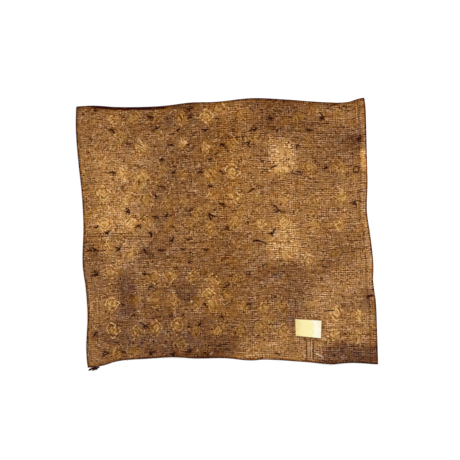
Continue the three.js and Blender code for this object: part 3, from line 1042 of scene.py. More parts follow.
@dataclass
class SheetSurface:
    """The laid sheet, read from its solid. Places on it are shares across and down, from 0 to 1."""

    node: Piece
    rim: tuple[float, ...] = (0, 0.7, 1.5, 2.4, 3.6, 5, 6.6, 8.4, 10.4, 12.6, 15)
    columns: int = 205
    rows: int = 190
    above: float = 0.1
    nudge: float = 0.3 * MM
    merging: float = 1e-6
    easing: int = 3
    finding: int = 8

    CORNERS: ClassVar[tuple[Pair, ...]] = ((-1, 1), (1, 1), (1, -1), (-1, -1))
    UNDERSIDE: ClassVar[float] = -0.7
    CUT_RIM: ClassVar[float] = 0.5

    def __post_init__(self) -> None:
        """Reads the outline and both faces of the solid."""
        solid = bmesh.new()
        solid.from_mesh(self.node.data)
        bmesh.ops.remove_doubles(solid, verts=solid.verts, dist=self.merging)
        tree = BVHTree.FromBMesh(solid)
        sides = self.sides(self.outline(solid))
        solid.free()
        width = 0.5 * (self.length(sides["top"]) + self.length(sides["bottom"]))
        height = 0.5 * (self.length(sides["left"]) + self.length(sides["right"]))
        self.size = (width, height)
        self.across = self.lines(width, self.columns)
        self.down = self.lines(height, self.rows)
        plan = self.plan(sides)
        middle = plan.reshape(-1, 2).mean(axis=0)
        inward = plan + self.nudge * self.unit(middle - plan)
        top = self.eased(self.cast(tree, inward, self.above))
        self.under = self.cast(tree, inward, -self.above)
        self.grid = np.concatenate([plan, top[..., None]], axis=-1)

    @staticmethod
    def unit(steps: Array) -> Array:
        """Steps of length 1 along each given step."""
        return steps / np.maximum(np.linalg.norm(steps, axis=-1, keepdims=True), 1e-9)

    def outline(self, solid: bmesh.types.BMesh) -> Array:
        """The edge of the solid's underside.

        Args:
            solid: the solid, with its doubles merged.

        Returns:
            One closed loop of points seen from above.
        """
        def on_foot(edge: bmesh.types.BMEdge) -> bool:
            """Whether an edge lies between the underside and the cut rim."""
            slopes = sorted(face.normal.z for face in edge.link_faces)
            return len(slopes) == 2 and slopes[0] < self.UNDERSIDE and abs(slopes[1]) < self.CUT_RIM

        near: dict[bmesh.types.BMVert, list[bmesh.types.BMVert]] = {}
        for edge in filter(on_foot, solid.edges):
            first, second = edge.verts
            near.setdefault(first, []).append(second)
            near.setdefault(second, []).append(first)
        start = next(iter(near))
        loop = [start]
        here, before = near[start][0], start
        while here is not start:
            loop.append(here)
            here, before = next(v for v in near[here] if v is not before), here
        return np.array([vert.co.xy for vert in loop])

    def sides(self, loop: Array) -> dict[str, Array]:
        """Parts the outline at its four corners.

        Args:
            loop: the outline's points.

        Returns:
            The top and bottom, which run right, and the left and right, which run down.
        """
        def run(start: int, end: int) -> Array:
            """The shorter way round the loop between two corners."""
            ways = (sign * np.arange(sign * (end - start) % len(loop) + 1) for sign in (1, -1))
            return loop[(start + min(ways, key=len)) % len(loop)]

        tl, tr, br, bl = (int(np.argmax(loop @ np.array(lean))) for lean in self.CORNERS)
        return {"top": run(tl, tr), "bottom": run(bl, br), "left": run(tl, bl), "right": run(tr, br)}

    @staticmethod
    def length(side: Array) -> float:
        """The length of a line of points."""
        return float(np.linalg.norm(np.diff(side, axis=0), axis=1).sum())

    def lines(self, length: float, count: int) -> Array:
        """Grid lines that are close together along the rim, and even between.

        Args:
            length: the length that they part.
            count: how many there are.

        Returns:
            Their places, from 0 to 1.
        """
        rim = np.array(self.rim) * MM / length
        inner = np.linspace(rim[-1], 1 - rim[-1], count - 2 * len(rim) + 2)
        return np.concatenate([rim[:-1], inner, 1 - rim[-2::-1]])

    def along(self, side: Array, fractions: Array) -> Array:
        """Points on a smooth curve through a side's points.

        Args:
            side: the side.
            fractions: how far along its length each point lies, from 0 to 1.

        Returns:
            The points.
        """
        steps = np.linalg.norm(np.diff(side, axis=0), axis=1)
        at = np.concatenate([[0], np.cumsum(steps)]) / steps.sum()
        slope = np.gradient(side, at, axis=0)
        index = np.clip(np.searchsorted(at, fractions, side="right") - 1, 0, len(at) - 2)
        span = (at[index + 1] - at[index])[:, None]
        f = ((fractions - at[index]) / span[:, 0])[:, None]
        start = side[index] * (1 + 2 * f) * (1 - f) ** 2 + span * slope[index] * f * (1 - f) ** 2
        end = side[index + 1] * f**2 * (3 - 2 * f) + span * slope[index + 1] * f**2 * (f - 1)
        return start + end

    def plan(self, sides: dict[str, Array]) -> Array:
        """The grid seen from above, filled in between its four sides.

        Args:
            sides: the sides by name.

        Returns:
            The grid's x and y, by row and column.
        """
        u, v = self.across[None, :, None], self.down[:, None, None]
        top, bottom = (self.along(sides[name], self.across)[None] for name in ("top", "bottom"))
        left, right = (self.along(sides[name], self.down)[:, None] for name in ("left", "right"))
        corners = ((1 - u) * (1 - v) * sides["top"][0] + u * (1 - v) * sides["top"][-1]
                   + (1 - u) * v * sides["bottom"][0] + u * v * sides["bottom"][-1])
        return (1 - v) * top + v * bottom + (1 - u) * left + u * right - corners

    def cast(self, tree: BVHTree, plan: Array, start: float) -> Array:
        """Heights of the solid's face that is met first from above or from below.

        Args:
            tree: the solid.
            plan: the grid seen from above.
            start: the height from which the face is looked for.

        Returns:
            The heights by row and column.
        """
        heading = Vector((0, 0, -math.copysign(1, start)))
        heights = np.zeros(plan.shape[:2])
        for index in np.ndindex(*heights.shape):
            x, y = plan[index]
            hit = tree.ray_cast(Vector((x, y, start)), heading)[0]
            if hit is None:
                hit = tree.find_nearest(Vector((x, y, 0)))[0]
            heights[index] = hit.z
        return heights

    def eased(self, heights: Array) -> Array:
        """Heights with the solid's facets softened, away from the rim.

        Args:
            heights: the heights by row and column.

        Returns:
            The softened heights.
        """
        soft = heights.copy()
        for _ in range(self.easing):
            around = soft[:-2, 1:-1] + soft[2:, 1:-1] + soft[1:-1, :-2] + soft[1:-1, 2:]
            soft[1:-1, 1:-1] = (soft[1:-1, 1:-1] + around / 4) / 2
        return soft

    def at(self, across: Array, down: Array) -> Array:
        """Points of the top.

        Args:
            across: their shares across.
            down: their shares down.

        Returns:
            The points, a row each.
        """
        def spot(lines: Array, fractions: Array) -> tuple[Array, Array]:
            """The grid line before each fraction, and how far past it the fraction lies."""
            index = np.clip(np.searchsorted(lines, fractions, side="right") - 1, 0, len(lines) - 2)
            return index, (fractions - lines[index]) / (lines[index + 1] - lines[index])

        column, f = spot(self.across, np.clip(across, 0, 1))
        row, g = spot(self.down, np.clip(down, 0, 1))
        f, g = f[:, None], g[:, None]
        upper = self.grid[row, column] * (1 - f) + self.grid[row, column + 1] * f
        lower = self.grid[row + 1, column] * (1 - f) + self.grid[row + 1, column + 1] * f
        return upper * (1 - g) + lower * g

    def find(self, x: Array, y: Array) -> tuple[Array, Array]:
        """The places on the sheet of points seen from above.

        Args:
            x: the points' x.
            y: the points' y.

        Returns:
            Their shares across and down.
        """
        across, down = 0.5 + x / self.size[0], 0.5 - y / self.size[1]
        for _ in range(self.finding):
            here = self.at(across, down)
            across = across + (x - here[:, 0]) / self.size[0]
            down = down - (y - here[:, 1]) / self.size[1]
        return across, down

    def lay(self, x: Array, y: Array) -> Array:
        """Points of the top above or below given points."""
        return self.at(*self.find(np.asarray(x, float), np.asarray(y, float)))

    @staticmethod
    def bare(x: Array, y: Array) -> Array:
        """Whether points are clear of the label, so that stitches may lie there."""
        low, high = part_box("label")
        return (x < low[0]) | (x > high[0]) | (y < low[1]) | (y > high[1])

    def inset(self, across: Array, down: Array) -> Array:
        """How far points are from the nearest edge of the cloth."""
        width, height = self.size
        return np.minimum(np.minimum(across, 1 - across) * width, np.minimum(down, 1 - down) * height)


@dataclass
class WovenPanel:
    """The woven sheet itself, hems and rolled top edge included."""

    surface: SheetSurface
    finish: WovenFinish = WovenFinish()
    edge_reach: float = 2.6 * MM
    stitched_dark: float = 0.1
    roll: Band = Band(0.06, 0.31, 0.03)
    roll_wave: Wave = Wave(95, 2, 41)
    roll_waver: float = 0.9 * MM
    roll_shadow_and_border: Band = Band(2 * MM, 7 * MM, 1 * MM)
    roll_shadow_and_border_amount: Pair = (0.42, 0.1)
    roll_highlight: Band = Band(7.6 * MM, 12 * MM, 2 * MM)
    roll_highlight_lift: float = 0.1
    hem: Band = Band(0, 14 * MM, 3 * MM)
    hem_length: Band = Band(0.15, 0.75, 0.2)
    hem_lift: float = 0.08
    seam: Band = Band(14 * MM, 16 * MM, 2 * MM)
    seam_dark: float = 0.12
    top: Band = Band(2 * MM, 11 * MM, 5 * MM)
    top_dark: float = 0.08

    def build(self) -> Piece:
        """Builds the closed sheet between its two faces and dresses it.

        Returns:
            The new object, which replaces the cloth.
        """
        surface = self.surface
        shell = bmesh.new()
        columns, rows = len(surface.across), len(surface.down)
        bmesh.ops.create_grid(shell, x_segments=columns - 1, y_segments=rows - 1, size=0.5)
        place = shell.verts.layers.int.new("place")
        for vert in shell.verts:
            column = round((vert.co.x + 0.5) * (columns - 1))
            row = round((0.5 - vert.co.y) * (rows - 1))
            vert[place] = row * columns + column
            vert.co = surface.grid[row, column]
        for vert in lower_face(shell):
            vert.co.z = surface.under[divmod(vert[place], columns)]
        mesh = sheet_mesh(shell, "woven_panel")
        mesh.shade_smooth()
        self.dress(mesh, columns)
        piece = place_piece(mesh, "woven_panel", self.finish.material())
        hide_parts("cloth")
        return piece

    def dress(self, mesh: bpy.types.Mesh, columns: int) -> None:
        """Writes the weave map and the tone, warmth, edge and plainness of every point.

        Args:
            mesh: the closed sheet.
            columns: how many grid lines it has across.
        """
        surface = self.surface
        place = np.zeros(len(mesh.vertices), np.int32)
        mesh.attributes["place"].data.foreach_get("value", place)
        across, down = surface.across[place % columns], surface.down[place // columns]
        weave = mesh.uv_layers.new(name="weave")
        corner = np.zeros(len(mesh.loops), np.int32)
        mesh.loops.foreach_get("vertex_index", corner)
        flat = np.stack([across * surface.size[0], (1 - down) * surface.size[1]], axis=-1)
        weave.data.foreach_set("uv", flat[corner].astype(np.float32).ravel())
        x, y = surface.grid.reshape(-1, 3)[place, :2].T
        plain = TONES.plainness(x, y)
        tone = TONES.tone(x, y) + self.hems(across, down) - self.stitched_dark * (1 - plain)
        # Closeness to the rim, which the woven finish darkens as painted rim shade with some dirt.
        edge = np.exp(-((surface.inset(across, down) / self.edge_reach) ** 2))
        bands = np.stack([tone, TONES.warmth(x, y), edge, plain], axis=-1)
        attribute = mesh.attributes.new("tone", "FLOAT_COLOR", "POINT")
        attribute.data.foreach_set("color", bands.astype(np.float32).ravel())

    def hems(self, across: Array, down: Array) -> Array:
        """How much paler or darker the right hem, the top edge and its rolled stretch are.

        Args:
            across: the points' shares across.
            down: the points' shares down.

        Returns:
            The step in tone at each point.
        """
        inset, depth = (1 - across) * self.surface.size[0], down * self.surface.size[1]
        wave = self.roll_wave.at(across, across)
        shade, uneven = self.roll_shadow_and_border_amount
        # A dark strip along the rolled stretch: painted shadow of the roll, together with its darker
        # turned-over border.
        dark = (shade + uneven * wave) * self.roll_shadow_and_border.at(depth + self.roll_waver * wave)
        # A pale band under the dark strip: painted highlight on the roll.
        rolled = self.roll.at(across) * (self.roll_highlight_lift * self.roll_highlight.at(depth) - dark)
        hem = self.hem_lift * self.hem.at(inset) * self.hem_length.at(down)
        return rolled + hem - self.seam_dark * self.seam.at(inset) - self.top_dark * self.top.at(depth)


@dataclass(frozen=True)
class Stroke:
    """One short raised strand: two pointed ends and two bent stations, sunk a little into the sheet."""

    station: float = 0.24
    rise: float = 0.35
    sink: float = 0.25

    def shape(self) -> tuple[Array, Array]:
        """Draws a three-sided rod out to two points and flattens it.

        Returns:
            Its points, along, across and up as shares of its size, and its triangles.
        """
        rod = bmesh.new()
        bmesh.ops.create_cone(rod, cap_ends=True, cap_tris=True, segments=3, radius1=1, radius2=1, depth=2)
        for vert in rod.verts:
            aside, over, along = vert.co
            pointed = math.hypot(aside, over) < 0.5
            across = 0.0 if abs(aside) < 0.5 else math.copysign(0.5, aside)
            reach = 0.5 if pointed else self.station
            vert.co = (along * reach, across, self.rise if over > 0.5 else -self.sink)
        return small_shape(rod)

    def scatter(self, batch: Batch, middle: Array, turn: Array, size: Array, bend: Array,
                dye: Array) -> None:
        """Lays many strokes on the sheet.

        Args:
            batch: where they are gathered.
            middle: the middle of each.
            turn: each one's heading, in radians from +X.
            size: each one's length, width and, for flat ones, thickness.
            bend: how far each one bows, as a share of its length.
            dye: each one's colour.
        """
        local, faces = self.shape()
        length, width, thick = size[:, :1], size[:, 1:2], size[:, -1:]
        forward = local[None, :, 0] * length
        bow = bend[:, None] * length * (0.5 - 4 * local[None, :, 0] ** 2)
        sideways = local[None, :, 1] * width + bow
        cos, sin = np.cos(turn)[:, None], np.sin(turn)[:, None]
        offset = [forward * cos - sideways * sin, forward * sin + sideways * cos, local[None, :, 2] * thick]
        placed = middle[:, None, :] + np.stack(offset, axis=-1)
        stacked = faces[None] + len(local) * np.arange(len(middle))[:, None, None]
        batch.add(placed.reshape(-1, 3), stacked.reshape(-1, 3), np.repeat(dye, len(local), axis=0))


STROKE = Stroke()


@dataclass(frozen=True)
class StitchKind:
    """One kind of short strand that speckles the sheet, with its sizes in millimetres."""

    name: str
    pitch: Pair
    jitter: Pair
    length: Pair
    width: Pair
    bend: float
    step: Pair
    warmth: Pair
    spared: float
    slanted: float
    upright: float
    right_share: float
    lower_share: float
    seed: int
    shadow: float = 0.0


STITCH_KINDS = (
    StitchKind(
        "pale_stitch_backs", pitch=(11.0, 10.0), jitter=(0.6, 0.6), length=(6, 12), width=(1.8, 2.6),
        bend=0.2, step=(0.34, 0.12), warmth=(0.4, 0.08), spared=-0.4, slanted=0.8, upright=0.3,
        right_share=0.15, lower_share=0.15, seed=11, shadow=-0.26),
    StitchKind(
        "dark_stitch_backs", pitch=(13.5, 12.5), jitter=(0.6, 0.6), length=(4, 10), width=(1.8, 2.6),
        bend=0.1, step=(-0.46, 0.12), warmth=(0.05, 0.04), spared=0.3, slanted=0.2, upright=0.2,
        right_share=0.3, lower_share=0.5, seed=12),
    StitchKind(
        "weft_flecks", pitch=(18.0, 12.0), jitter=(0.6, 0.2), length=(4, 9), width=(1.6, 2.2),
        bend=0.05, step=(0.26, 0.1), warmth=(0.0, 0.04), spared=0.3, slanted=0.1, upright=0.05,
        right_share=1.0, lower_share=0.6, seed=13),
    StitchKind(
        "dark_wefts", pitch=(26.0, 7.0), jitter=(0.8, 0.2), length=(9, 26), width=(1.1, 1.7),
        bend=0.01, step=(-0.3, 0.08), warmth=(0.0, 0.04), spared=0.2, slanted=0.0, upright=0.1,
        right_share=1.0, lower_share=1.0, seed=14),
)


@dataclass
class StitchBacks:
    """The backs of the ground stitches and the odd wefts: thousands of short strands of a few kinds."""

    surface: SheetSurface
    margin: tuple[float, float, float, float] = (6 * MM, 10 * MM, 10 * MM, 6 * MM)
    right_fade: Pair = (5, 4)
    lower_fade: Pair = (4, 1.5)
    along_side: float = 0.75
    slant: float = math.radians(45)
    sway: float = math.radians(12)
    woven_sway: float = 0.15
    shadow_aside: float = 0.9
    shadow_sunk: float = -0.1
    shadow_size: Pair = (0.9, 0.8)

    def build(self, kind: StitchKind, material: Material) -> Piece:
        """Scatters one kind of strand over the sheet, inside its hems.

        Args:
            kind: which strands.
            material: their finish.

        Returns:
            The new object.
        """
        rng = np.random.default_rng(kind.seed)
        middle = self.sown(rng, kind)
        x, y, count = middle[:, 0], middle[:, 1], len(middle)
        size = np.stack([rng.uniform(*kind.length, count), rng.uniform(*kind.width, count)], axis=-1) * MM
        ground = TONES.tone(x, y)
        tone = ground + rng.normal(*kind.step, count)
        warmth = TONES.warmth(x, y) + rng.normal(*kind.warmth, count)
        turn = self.headings(rng, kind, x, y)
        bend = rng.normal(0, 1, count) * kind.bend
        batch = Batch()
        STROKE.scatter(batch, middle, turn, size, bend, DYE.paint(np.clip(tone, 0, PALEST), warmth))
        if kind.shadow:
            lean = np.stack([np.sin(turn), -np.cos(turn), np.full(count, self.shadow_sunk)], axis=-1)
            aside = lean * size[:, 1:] * self.shadow_aside
            shaded = DYE.paint(np.clip(ground + kind.shadow, 0, 1), warmth)
            STROKE.scatter(batch, middle + aside, turn, size * self.shadow_size, bend, shaded)
        return batch.piece(kind.name, material, "raffia_ground")

    def sown(self, rng: Draws, kind: StitchKind) -> Array:
        """Where the strands of one kind lie, thinned out on the right and lower parts.

        Args:
            rng: the strands' own random draws.
            kind: which strands.

        Returns:
            The middle of each strand.
        """
        width, height = self.surface.size
        left, right, top, bottom = self.margin
        wide, tall = np.array(kind.pitch) * MM
        half = 0.5 * kind.length[1] * MM
        columns, rows = np.arange(left, width - right, wide), np.arange(top, height - bottom, tall)
        across, down = (steps.ravel() for steps in np.meshgrid(columns, rows))
        across = across + rng.uniform(-1, 1, across.size) * kind.jitter[0] * wide
        down = down + rng.uniform(-1, 1, down.size) * kind.jitter[1] * tall
        inside = (across > left + half) & (across < width - right - half)
        inside &= (down > top) & (down < height - bottom)
        middle = self.surface.at(across[inside] / width, down[inside] / height)
        x, y = middle[:, 0], middle[:, 1]
        motif = TONES.motif(x, y)
        column, row = LATTICE.count(x, y)
        share = 1 - abs(kind.spared) * (motif if kind.spared > 0 else 1 - motif)
        share *= 1 + (kind.right_share - 1) * ramped(column, *self.right_fade)
        share *= 1 + (kind.lower_share - 1) * ramped(row, *self.lower_fade)
        return middle[(rng.random(len(middle)) < share) & self.surface.bare(x, y)]

    def headings(self, rng: Draws, kind: StitchKind, x: Array, y: Array) -> Array:
        """The way each strand runs: slanted along a lozenge's sides, upright, or across.

        Args:
            rng: the strands' own random draws.
            kind: which strands.
            x: where they lie from left to right.
            y: where they lie from bottom to top.

        Returns:
            Headings in radians.
        """
        column, row = LATTICE.count(x, y)
        side = np.where((column - np.round(column)) * (row - np.round(row)) > 0, 1, -1)
        slant = side * self.slant * np.where(rng.random(len(x)) < self.along_side, 1, -1)
        plain = np.where(rng.random(len(x)) < kind.upright, math.radians(90), 0.0)
        chosen = np.where(rng.random(len(x)) < kind.slanted, slant, plain)
        return chosen + rng.normal(0, self.sway, len(x)) * (1 if kind.slanted else self.woven_sway)


class LozengeStyle(Enum):
    """The ways in which a lozenge's stitches show on the reverse."""

    RINGED = "ringed"
    HATCHED = "hatched"
    FILLED = "filled"
    LOOSE = "loose"


@dataclass(frozen=True)
class Ring:
    """One ring of a lozenge: its share of the size, strokes to a side, share of the paleness, and width."""

    scale: float
    strokes: int
    share: float
    width: float


@dataclass
class LozengeRows:
    """The golden lozenges: ringed, hatched, filled or broken up into loose strokes.

    A pad is a stroke's share of the lozenge's paleness, and its width. Reaches are shares of a side.
    """

    surface: SheetSurface
    tall: float = 17 * MM
    wide: float = 15.5 * MM
    tall_spread: Pair = (0.9, 1.05)
    wide_spread: Pair = (0.85, 1.05)
    crooked: float = 1.8 * MM
    last_mixed: float = 5.5
    upper_odds: tuple[float, ...] = (0.35, 0.3, 0.1, 0.25)
    lower_odds: tuple[float, ...] = (0.65, 0.2, 0.05, 0.1)
    kept: Pair = (0.4, 0.5)
    outline: Ring = Ring(1.0, 3, 1.0, 3.2 * MM)
    # The gap ring is darker than the cloth: painted shade between the pale outline and the inner ring.
    gap_shade: Ring = Ring(0.72, 2, -0.5, 2.6 * MM)
    inner: Ring = Ring(0.44, 1, 0.9, 3.0 * MM)
    filling: Pair = (0.3, 5.2 * MM)
    filling_reach: float = 0.42
    filling_strokes: int = 2
    pads: tuple[Pair, Pair] = ((1.0, 2.8 * MM), (-0.5, 2.5 * MM))
    hatches: tuple[float, ...] = (-0.4, -0.3, -0.2, -0.1, 0.0, 0.1, 0.2, 0.3, 0.4)
    hatch_stray: Pair = (0.03, 0.2)
    hatch_reach: Pair = (0.12, 0.36)
    loose: int = 13
    filled: int = 4
    loose_stray: float = 0.45
    loose_reach: Pair = (0.13, 0.26)
    loose_along: float = 0.6
    loose_dark: float = 0.35
    stroke_stray: float = 0.9 * MM
    stroke_turn: float = 0.12
    stroke_length: Pair = (0.9, 1.2)
    stroke_width: Pair = (0.75, 1.15)
    stroke_bend: float = 0.05
    raised: float = 0.4 * MM
    padded: float = 0.1 * MM
    flatness: float = 0.2
    tip_odds: float = 0.6
    tip_place: float = 0.9
    tip_turn: float = 0.8
    tip_length: float = 4 * MM
    tip_lift: float = 0.2
    lift: float = 0.06
    plain_lift: float = 0.36
    uneven: float = 0.07
    golden: float = 1.15
    golden_ground: float = 0.3
    golden_uneven: float = 0.06
    olive: tuple[float, ...] = (0.98, 1.025, 0.94, 1.0)
    margin: float = 7 * MM
    seed: int = 23

    def build(self, material: Material) -> Piece:
        """Draws every lozenge of every row with short raised strokes.

        Args:
            material: their finish.

        Returns:
            The new object.
        """
        rng = np.random.default_rng(self.seed)
        table = np.array([stroke for motif in MOTIFS for stroke in self.lozenge(rng, motif)])
        x, y, turn, length, width, lift = table.T
        count = len(table)
        middle = self.surface.lay(x, y)
        padding = width > self.outline.width
        middle[:, 2] += np.where(padding, self.padded, self.raised)
        tone = TONES.tone(x, y) + lift + rng.normal(0, self.uneven, count)
        width = width * rng.uniform(*self.stroke_width, count)
        size = np.stack([length, width, width * np.where(padding, self.flatness, 1)], axis=-1)
        warmth = self.golden + self.golden_ground * (TONES.warmth(x, y) - self.golden)
        warmth = warmth + rng.normal(0, self.golden_uneven, count)
        dye = DYE.paint(np.clip(tone, 0, PALEST), warmth) * self.olive
        bend = rng.normal(0, self.stroke_bend, count)
        keep = (self.surface.inset(*self.surface.find(x, y)) > self.margin) & self.surface.bare(x, y)
        batch = Batch()
        STROKE.scatter(batch, middle[keep], turn[keep], size[keep], bend[keep], dye[keep])
        return batch.piece("lozenge_stitches", material, "raffia_ground")

    def lozenge(self, rng: Draws, motif: Motif) -> Iterator[tuple[float, ...]]:
        """The strokes of one lozenge.

        Args:
            rng: the lozenges' own random draws.
            motif: where it lies and how plainly it shows.

        Yields:
            For each stroke its x, y, heading, length, width and how much paler than the cloth it is.
        """
        x, y = LATTICE.place(motif.column, motif.row)
        wide, tall = self.wide * rng.uniform(*self.wide_spread), self.tall * rng.uniform(*self.tall_spread)
        tips = np.array([(wide, 0), (0, tall), (-wide, 0), (0, -tall)])
        tips = tips + rng.normal(0, self.crooked, tips.shape)
        full = self.lift + self.plain_lift * motif.strength
        lower = motif.row > self.last_mixed
        odds = self.lower_odds if lower else self.upper_odds
        style = list(LozengeStyle)[rng.choice(len(LozengeStyle), p=odds)]
        kept = self.kept[0] + self.kept[1] * motif.strength
        if motif.strength == 1 and lower:
            style, kept = LozengeStyle.RINGED, 1.0
        for start, end, count, share, thick in self.lines(rng, style, tips):
            along = end - start
            for step in range(count):
                if rng.random() > kept:
                    continue
                spot = start + along * (step + 0.5) / count + rng.normal(0, self.stroke_stray, 2)
                turn = math.atan2(along[1], along[0]) + rng.normal(0, self.stroke_turn)
                length = np.linalg.norm(along) / count * rng.uniform(*self.stroke_length)
                yield x + spot[0], y + spot[1], turn, length, thick, full * share
        for tip in tips[1::2]:
            if rng.random() < self.tip_odds * motif.strength:
                yield (x + tip[0], y + tip[1] * self.tip_place, rng.normal(0, self.tip_turn),
                       self.tip_length, self.outline.width, full + self.tip_lift)

    def lines(self, rng: Draws, style: LozengeStyle,
              tips: Array) -> Iterator[tuple[Array, Array, int, float, float]]:
        """The lines along which one lozenge is stitched.

        Args:
            rng: the lozenges' own random draws.
            style: how its stitches show.
            tips: its four corners, around its middle.

        Yields:
            For each line its start, its end, in how many strokes it is drawn, its share of the lozenge's
            paleness and its width.
        """
        side, other = (tips[1] - tips[0], tips[2] - tips[1])[:: rng.choice((1, -1))]
        if style is LozengeStyle.RINGED:
            for ring in (self.outline, self.gap_shade, self.inner):
                for start, end in zip(tips, np.roll(tips, -1, axis=0)):
                    yield ring.scale * start, ring.scale * end, ring.strokes, ring.share, ring.width
        reach = self.filling_reach * side
        for step in self.hatches[1::2]:
            yield step * other - reach, step * other + reach, self.filling_strokes, *self.filling
        if style is LozengeStyle.HATCHED:
            down, aside = self.hatch_stray
            for index, step in enumerate(self.hatches):
                middle = (step + rng.normal(0, down)) * other + rng.uniform(-aside, aside) * side
                reach = rng.uniform(*self.hatch_reach) * side
                # Every second hatch takes the dark pad: painted shadow between the pale hatches.
                yield middle - reach, middle + reach, 1, *self.pads[index % 2]
        for _ in range({LozengeStyle.LOOSE: self.loose, LozengeStyle.FILLED: self.filled}.get(style, 0)):
            along, aside = rng.uniform(-self.loose_stray, self.loose_stray, 2)
            middle = along * side + aside * other
            reach = rng.uniform(*self.loose_reach) * (side if rng.random() < self.loose_along else other)
            yield middle - reach, middle + reach, 1, *self.pads[rng.random() < self.loose_dark]


@dataclass(frozen=True)
class Strand(Charted):
    """One loose strand: its middle in lattice steps, heading, length, bend, width and tone."""

    column: float
    row: float
    heading: float
    length: float
    bend: float
    width: float
    tone: float = 0.04

    STEPS: ClassVar[int] = 8

    def path(self) -> Array:
        """The strand's plan.

        Returns:
            Its points seen from above, from end to end.
        """
        s = np.linspace(-0.5, 0.5, self.STEPS)
        along = s * self.length * MM
        off = self.bend * self.length * MM * (1 - 4 * s**2)
        turn = math.radians(self.heading)
        x, y = LATTICE.place(self.column, self.row)
        return np.stack([x + along * math.cos(turn) - off * math.sin(turn),
                         y + along * math.sin(turn) + off * math.cos(turn)], axis=-1)


DARK_STRANDS = Strand.table(
    (6.27, 0.24, 38, 34, -0.14, 1.4), (7.38, 1.75, 24, 19, 0.1, 2.9), (8.4, 1.95, -12, 26, -0.12, 1.6),
    (8.25, 1.9, 75, 12, 0.1, 1.4), (9.55, -0.25, -52, 15, 0.1, 2.3), (9.62, -0.1, 50, 13, 0.1, 2.1),
    (10.1, -0.58, 20, 22, 0.16, 2), (10.6, -0.5, -15, 14, 0.35, 2.1), (11.1, 3.08, 14, 26, 0.1, 2),
    (11.08, 3.15, -60, 15, 0.15, 1.7), (6.38, 2.62, 38, 16, 0.05, 2.5), (6.75, 2.55, 8, 20, 0.12, 1),
    (7.45, 3.28, -40, 18, 0.15, 2), (7.75, 3.4, -12, 20, -0.1, 1.6), (7.3, 4.15, 38, 22, -0.16, 2.6),
    (6.75, 4.6, -14, 32, 0.08, 2.7), (6.55, 4.55, 20, 16, 0.1, 1.8), (4.6, 3.55, -24, 20, -0.1, 2.5),
    (9.97, 7.22, 6, 19, 0.06, 2.1), (5.32, 6.98, 28, 14, 0.05, 1.3), (0.72, 3.4, -50, 15, 0.2, 2.2),
    (-0.2, 4.24, 40, 14, 0.05, 2.1), (0.25, 4.85, -25, 13, 0.15, 2.9), (0.38, 4.85, 60, 10, 0.1, 2.6),
    (-0.75, 5.75, -62, 12, 0.05, 2.3), (-0.62, 5.75, 62, 12, 0.05, 2.2), (1.55, 7.8, 30, 15, 0.08, 2.2),
    (1.62, 7.85, -35, 14, 0.08, 2.1), (-0.28, 8.9, 32, 17, 0.05, 2.6), (1.88, 8.8, 40, 14, 0.05, 2.3),
    (11.15, 1.72, 0, 11, 0.05, 2.2, 0.1), (11.15, 1.93, 2, 11, 0.05, 2.6, 0.1),
    (11.03, 1.82, 90, 11, 0.05, 2.4, 0.1), (11.28, 1.82, 88, 11, 0.05, 2.2, 0.1),
    (6, 0.6, -75, 17, -0.15, 1.4), (6.15, 0.82, 5, 12, 0.1, 2.2),
)
PALE_STRANDS = Strand.table(
    (-0.72, 3.62, 58, 13, 0.2, 1.5, 0.95), (2.26, 0.4, 84, 9, 0.08, 1.8, 0.95),
    (-0.12, 4.28, 40, 12, -0.08, 2, 0.9), (9.45, 8.92, -24, 20, 0.04, 1.9, 1),
    (3.63, 6.86, 30, 5, 0, 3.2, 1), (1.2, 7.24, 50, 4, 0, 1.8, 1),
    (4.62, 3.5, -20, 14, -0.12, 1.6, 0.9), (9.2, 2.55, -35, 9, 0.25, 0.9, 0.85),
    (9.4, 2.6, 35, 8, 0.25, 0.9, 0.85), (3.9, 8.72, 50, 8, 0, 1.7, 0.85),
    (4.55, 8.85, 40, 9, 0.1, 1.7, 0.85), (2, 8.35, 60, 5, 0, 1.1, 0.85),
)


@lru_cache
def rod_shape(sides: int, rings: int) -> tuple[Array, Array]:
    """Makes a straight rod with closed ends, cut into rings.

    Args:
        sides: how many sides it has.
        rings: how many rings of points it has.

    Returns:
        Its points, aside, up and by ring, and its triangles.
    """
    rod = bmesh.new()
    bmesh.ops.create_cone(rod, cap_ends=True, cap_tris=True, segments=sides, radius1=1, radius2=1, depth=2)
    long = [edge for edge in rod.edges if abs(edge.verts[0].co.z - edge.verts[1].co.z) > 1]
    bmesh.ops.subdivide_edges(rod, edges=long, cuts=rings - 2, use_grid_fill=True)
    points, faces = small_shape(rod)
    points[:, 2] = np.round((points[:, 2] + 1) / 2 * (rings - 1))
    return points, faces


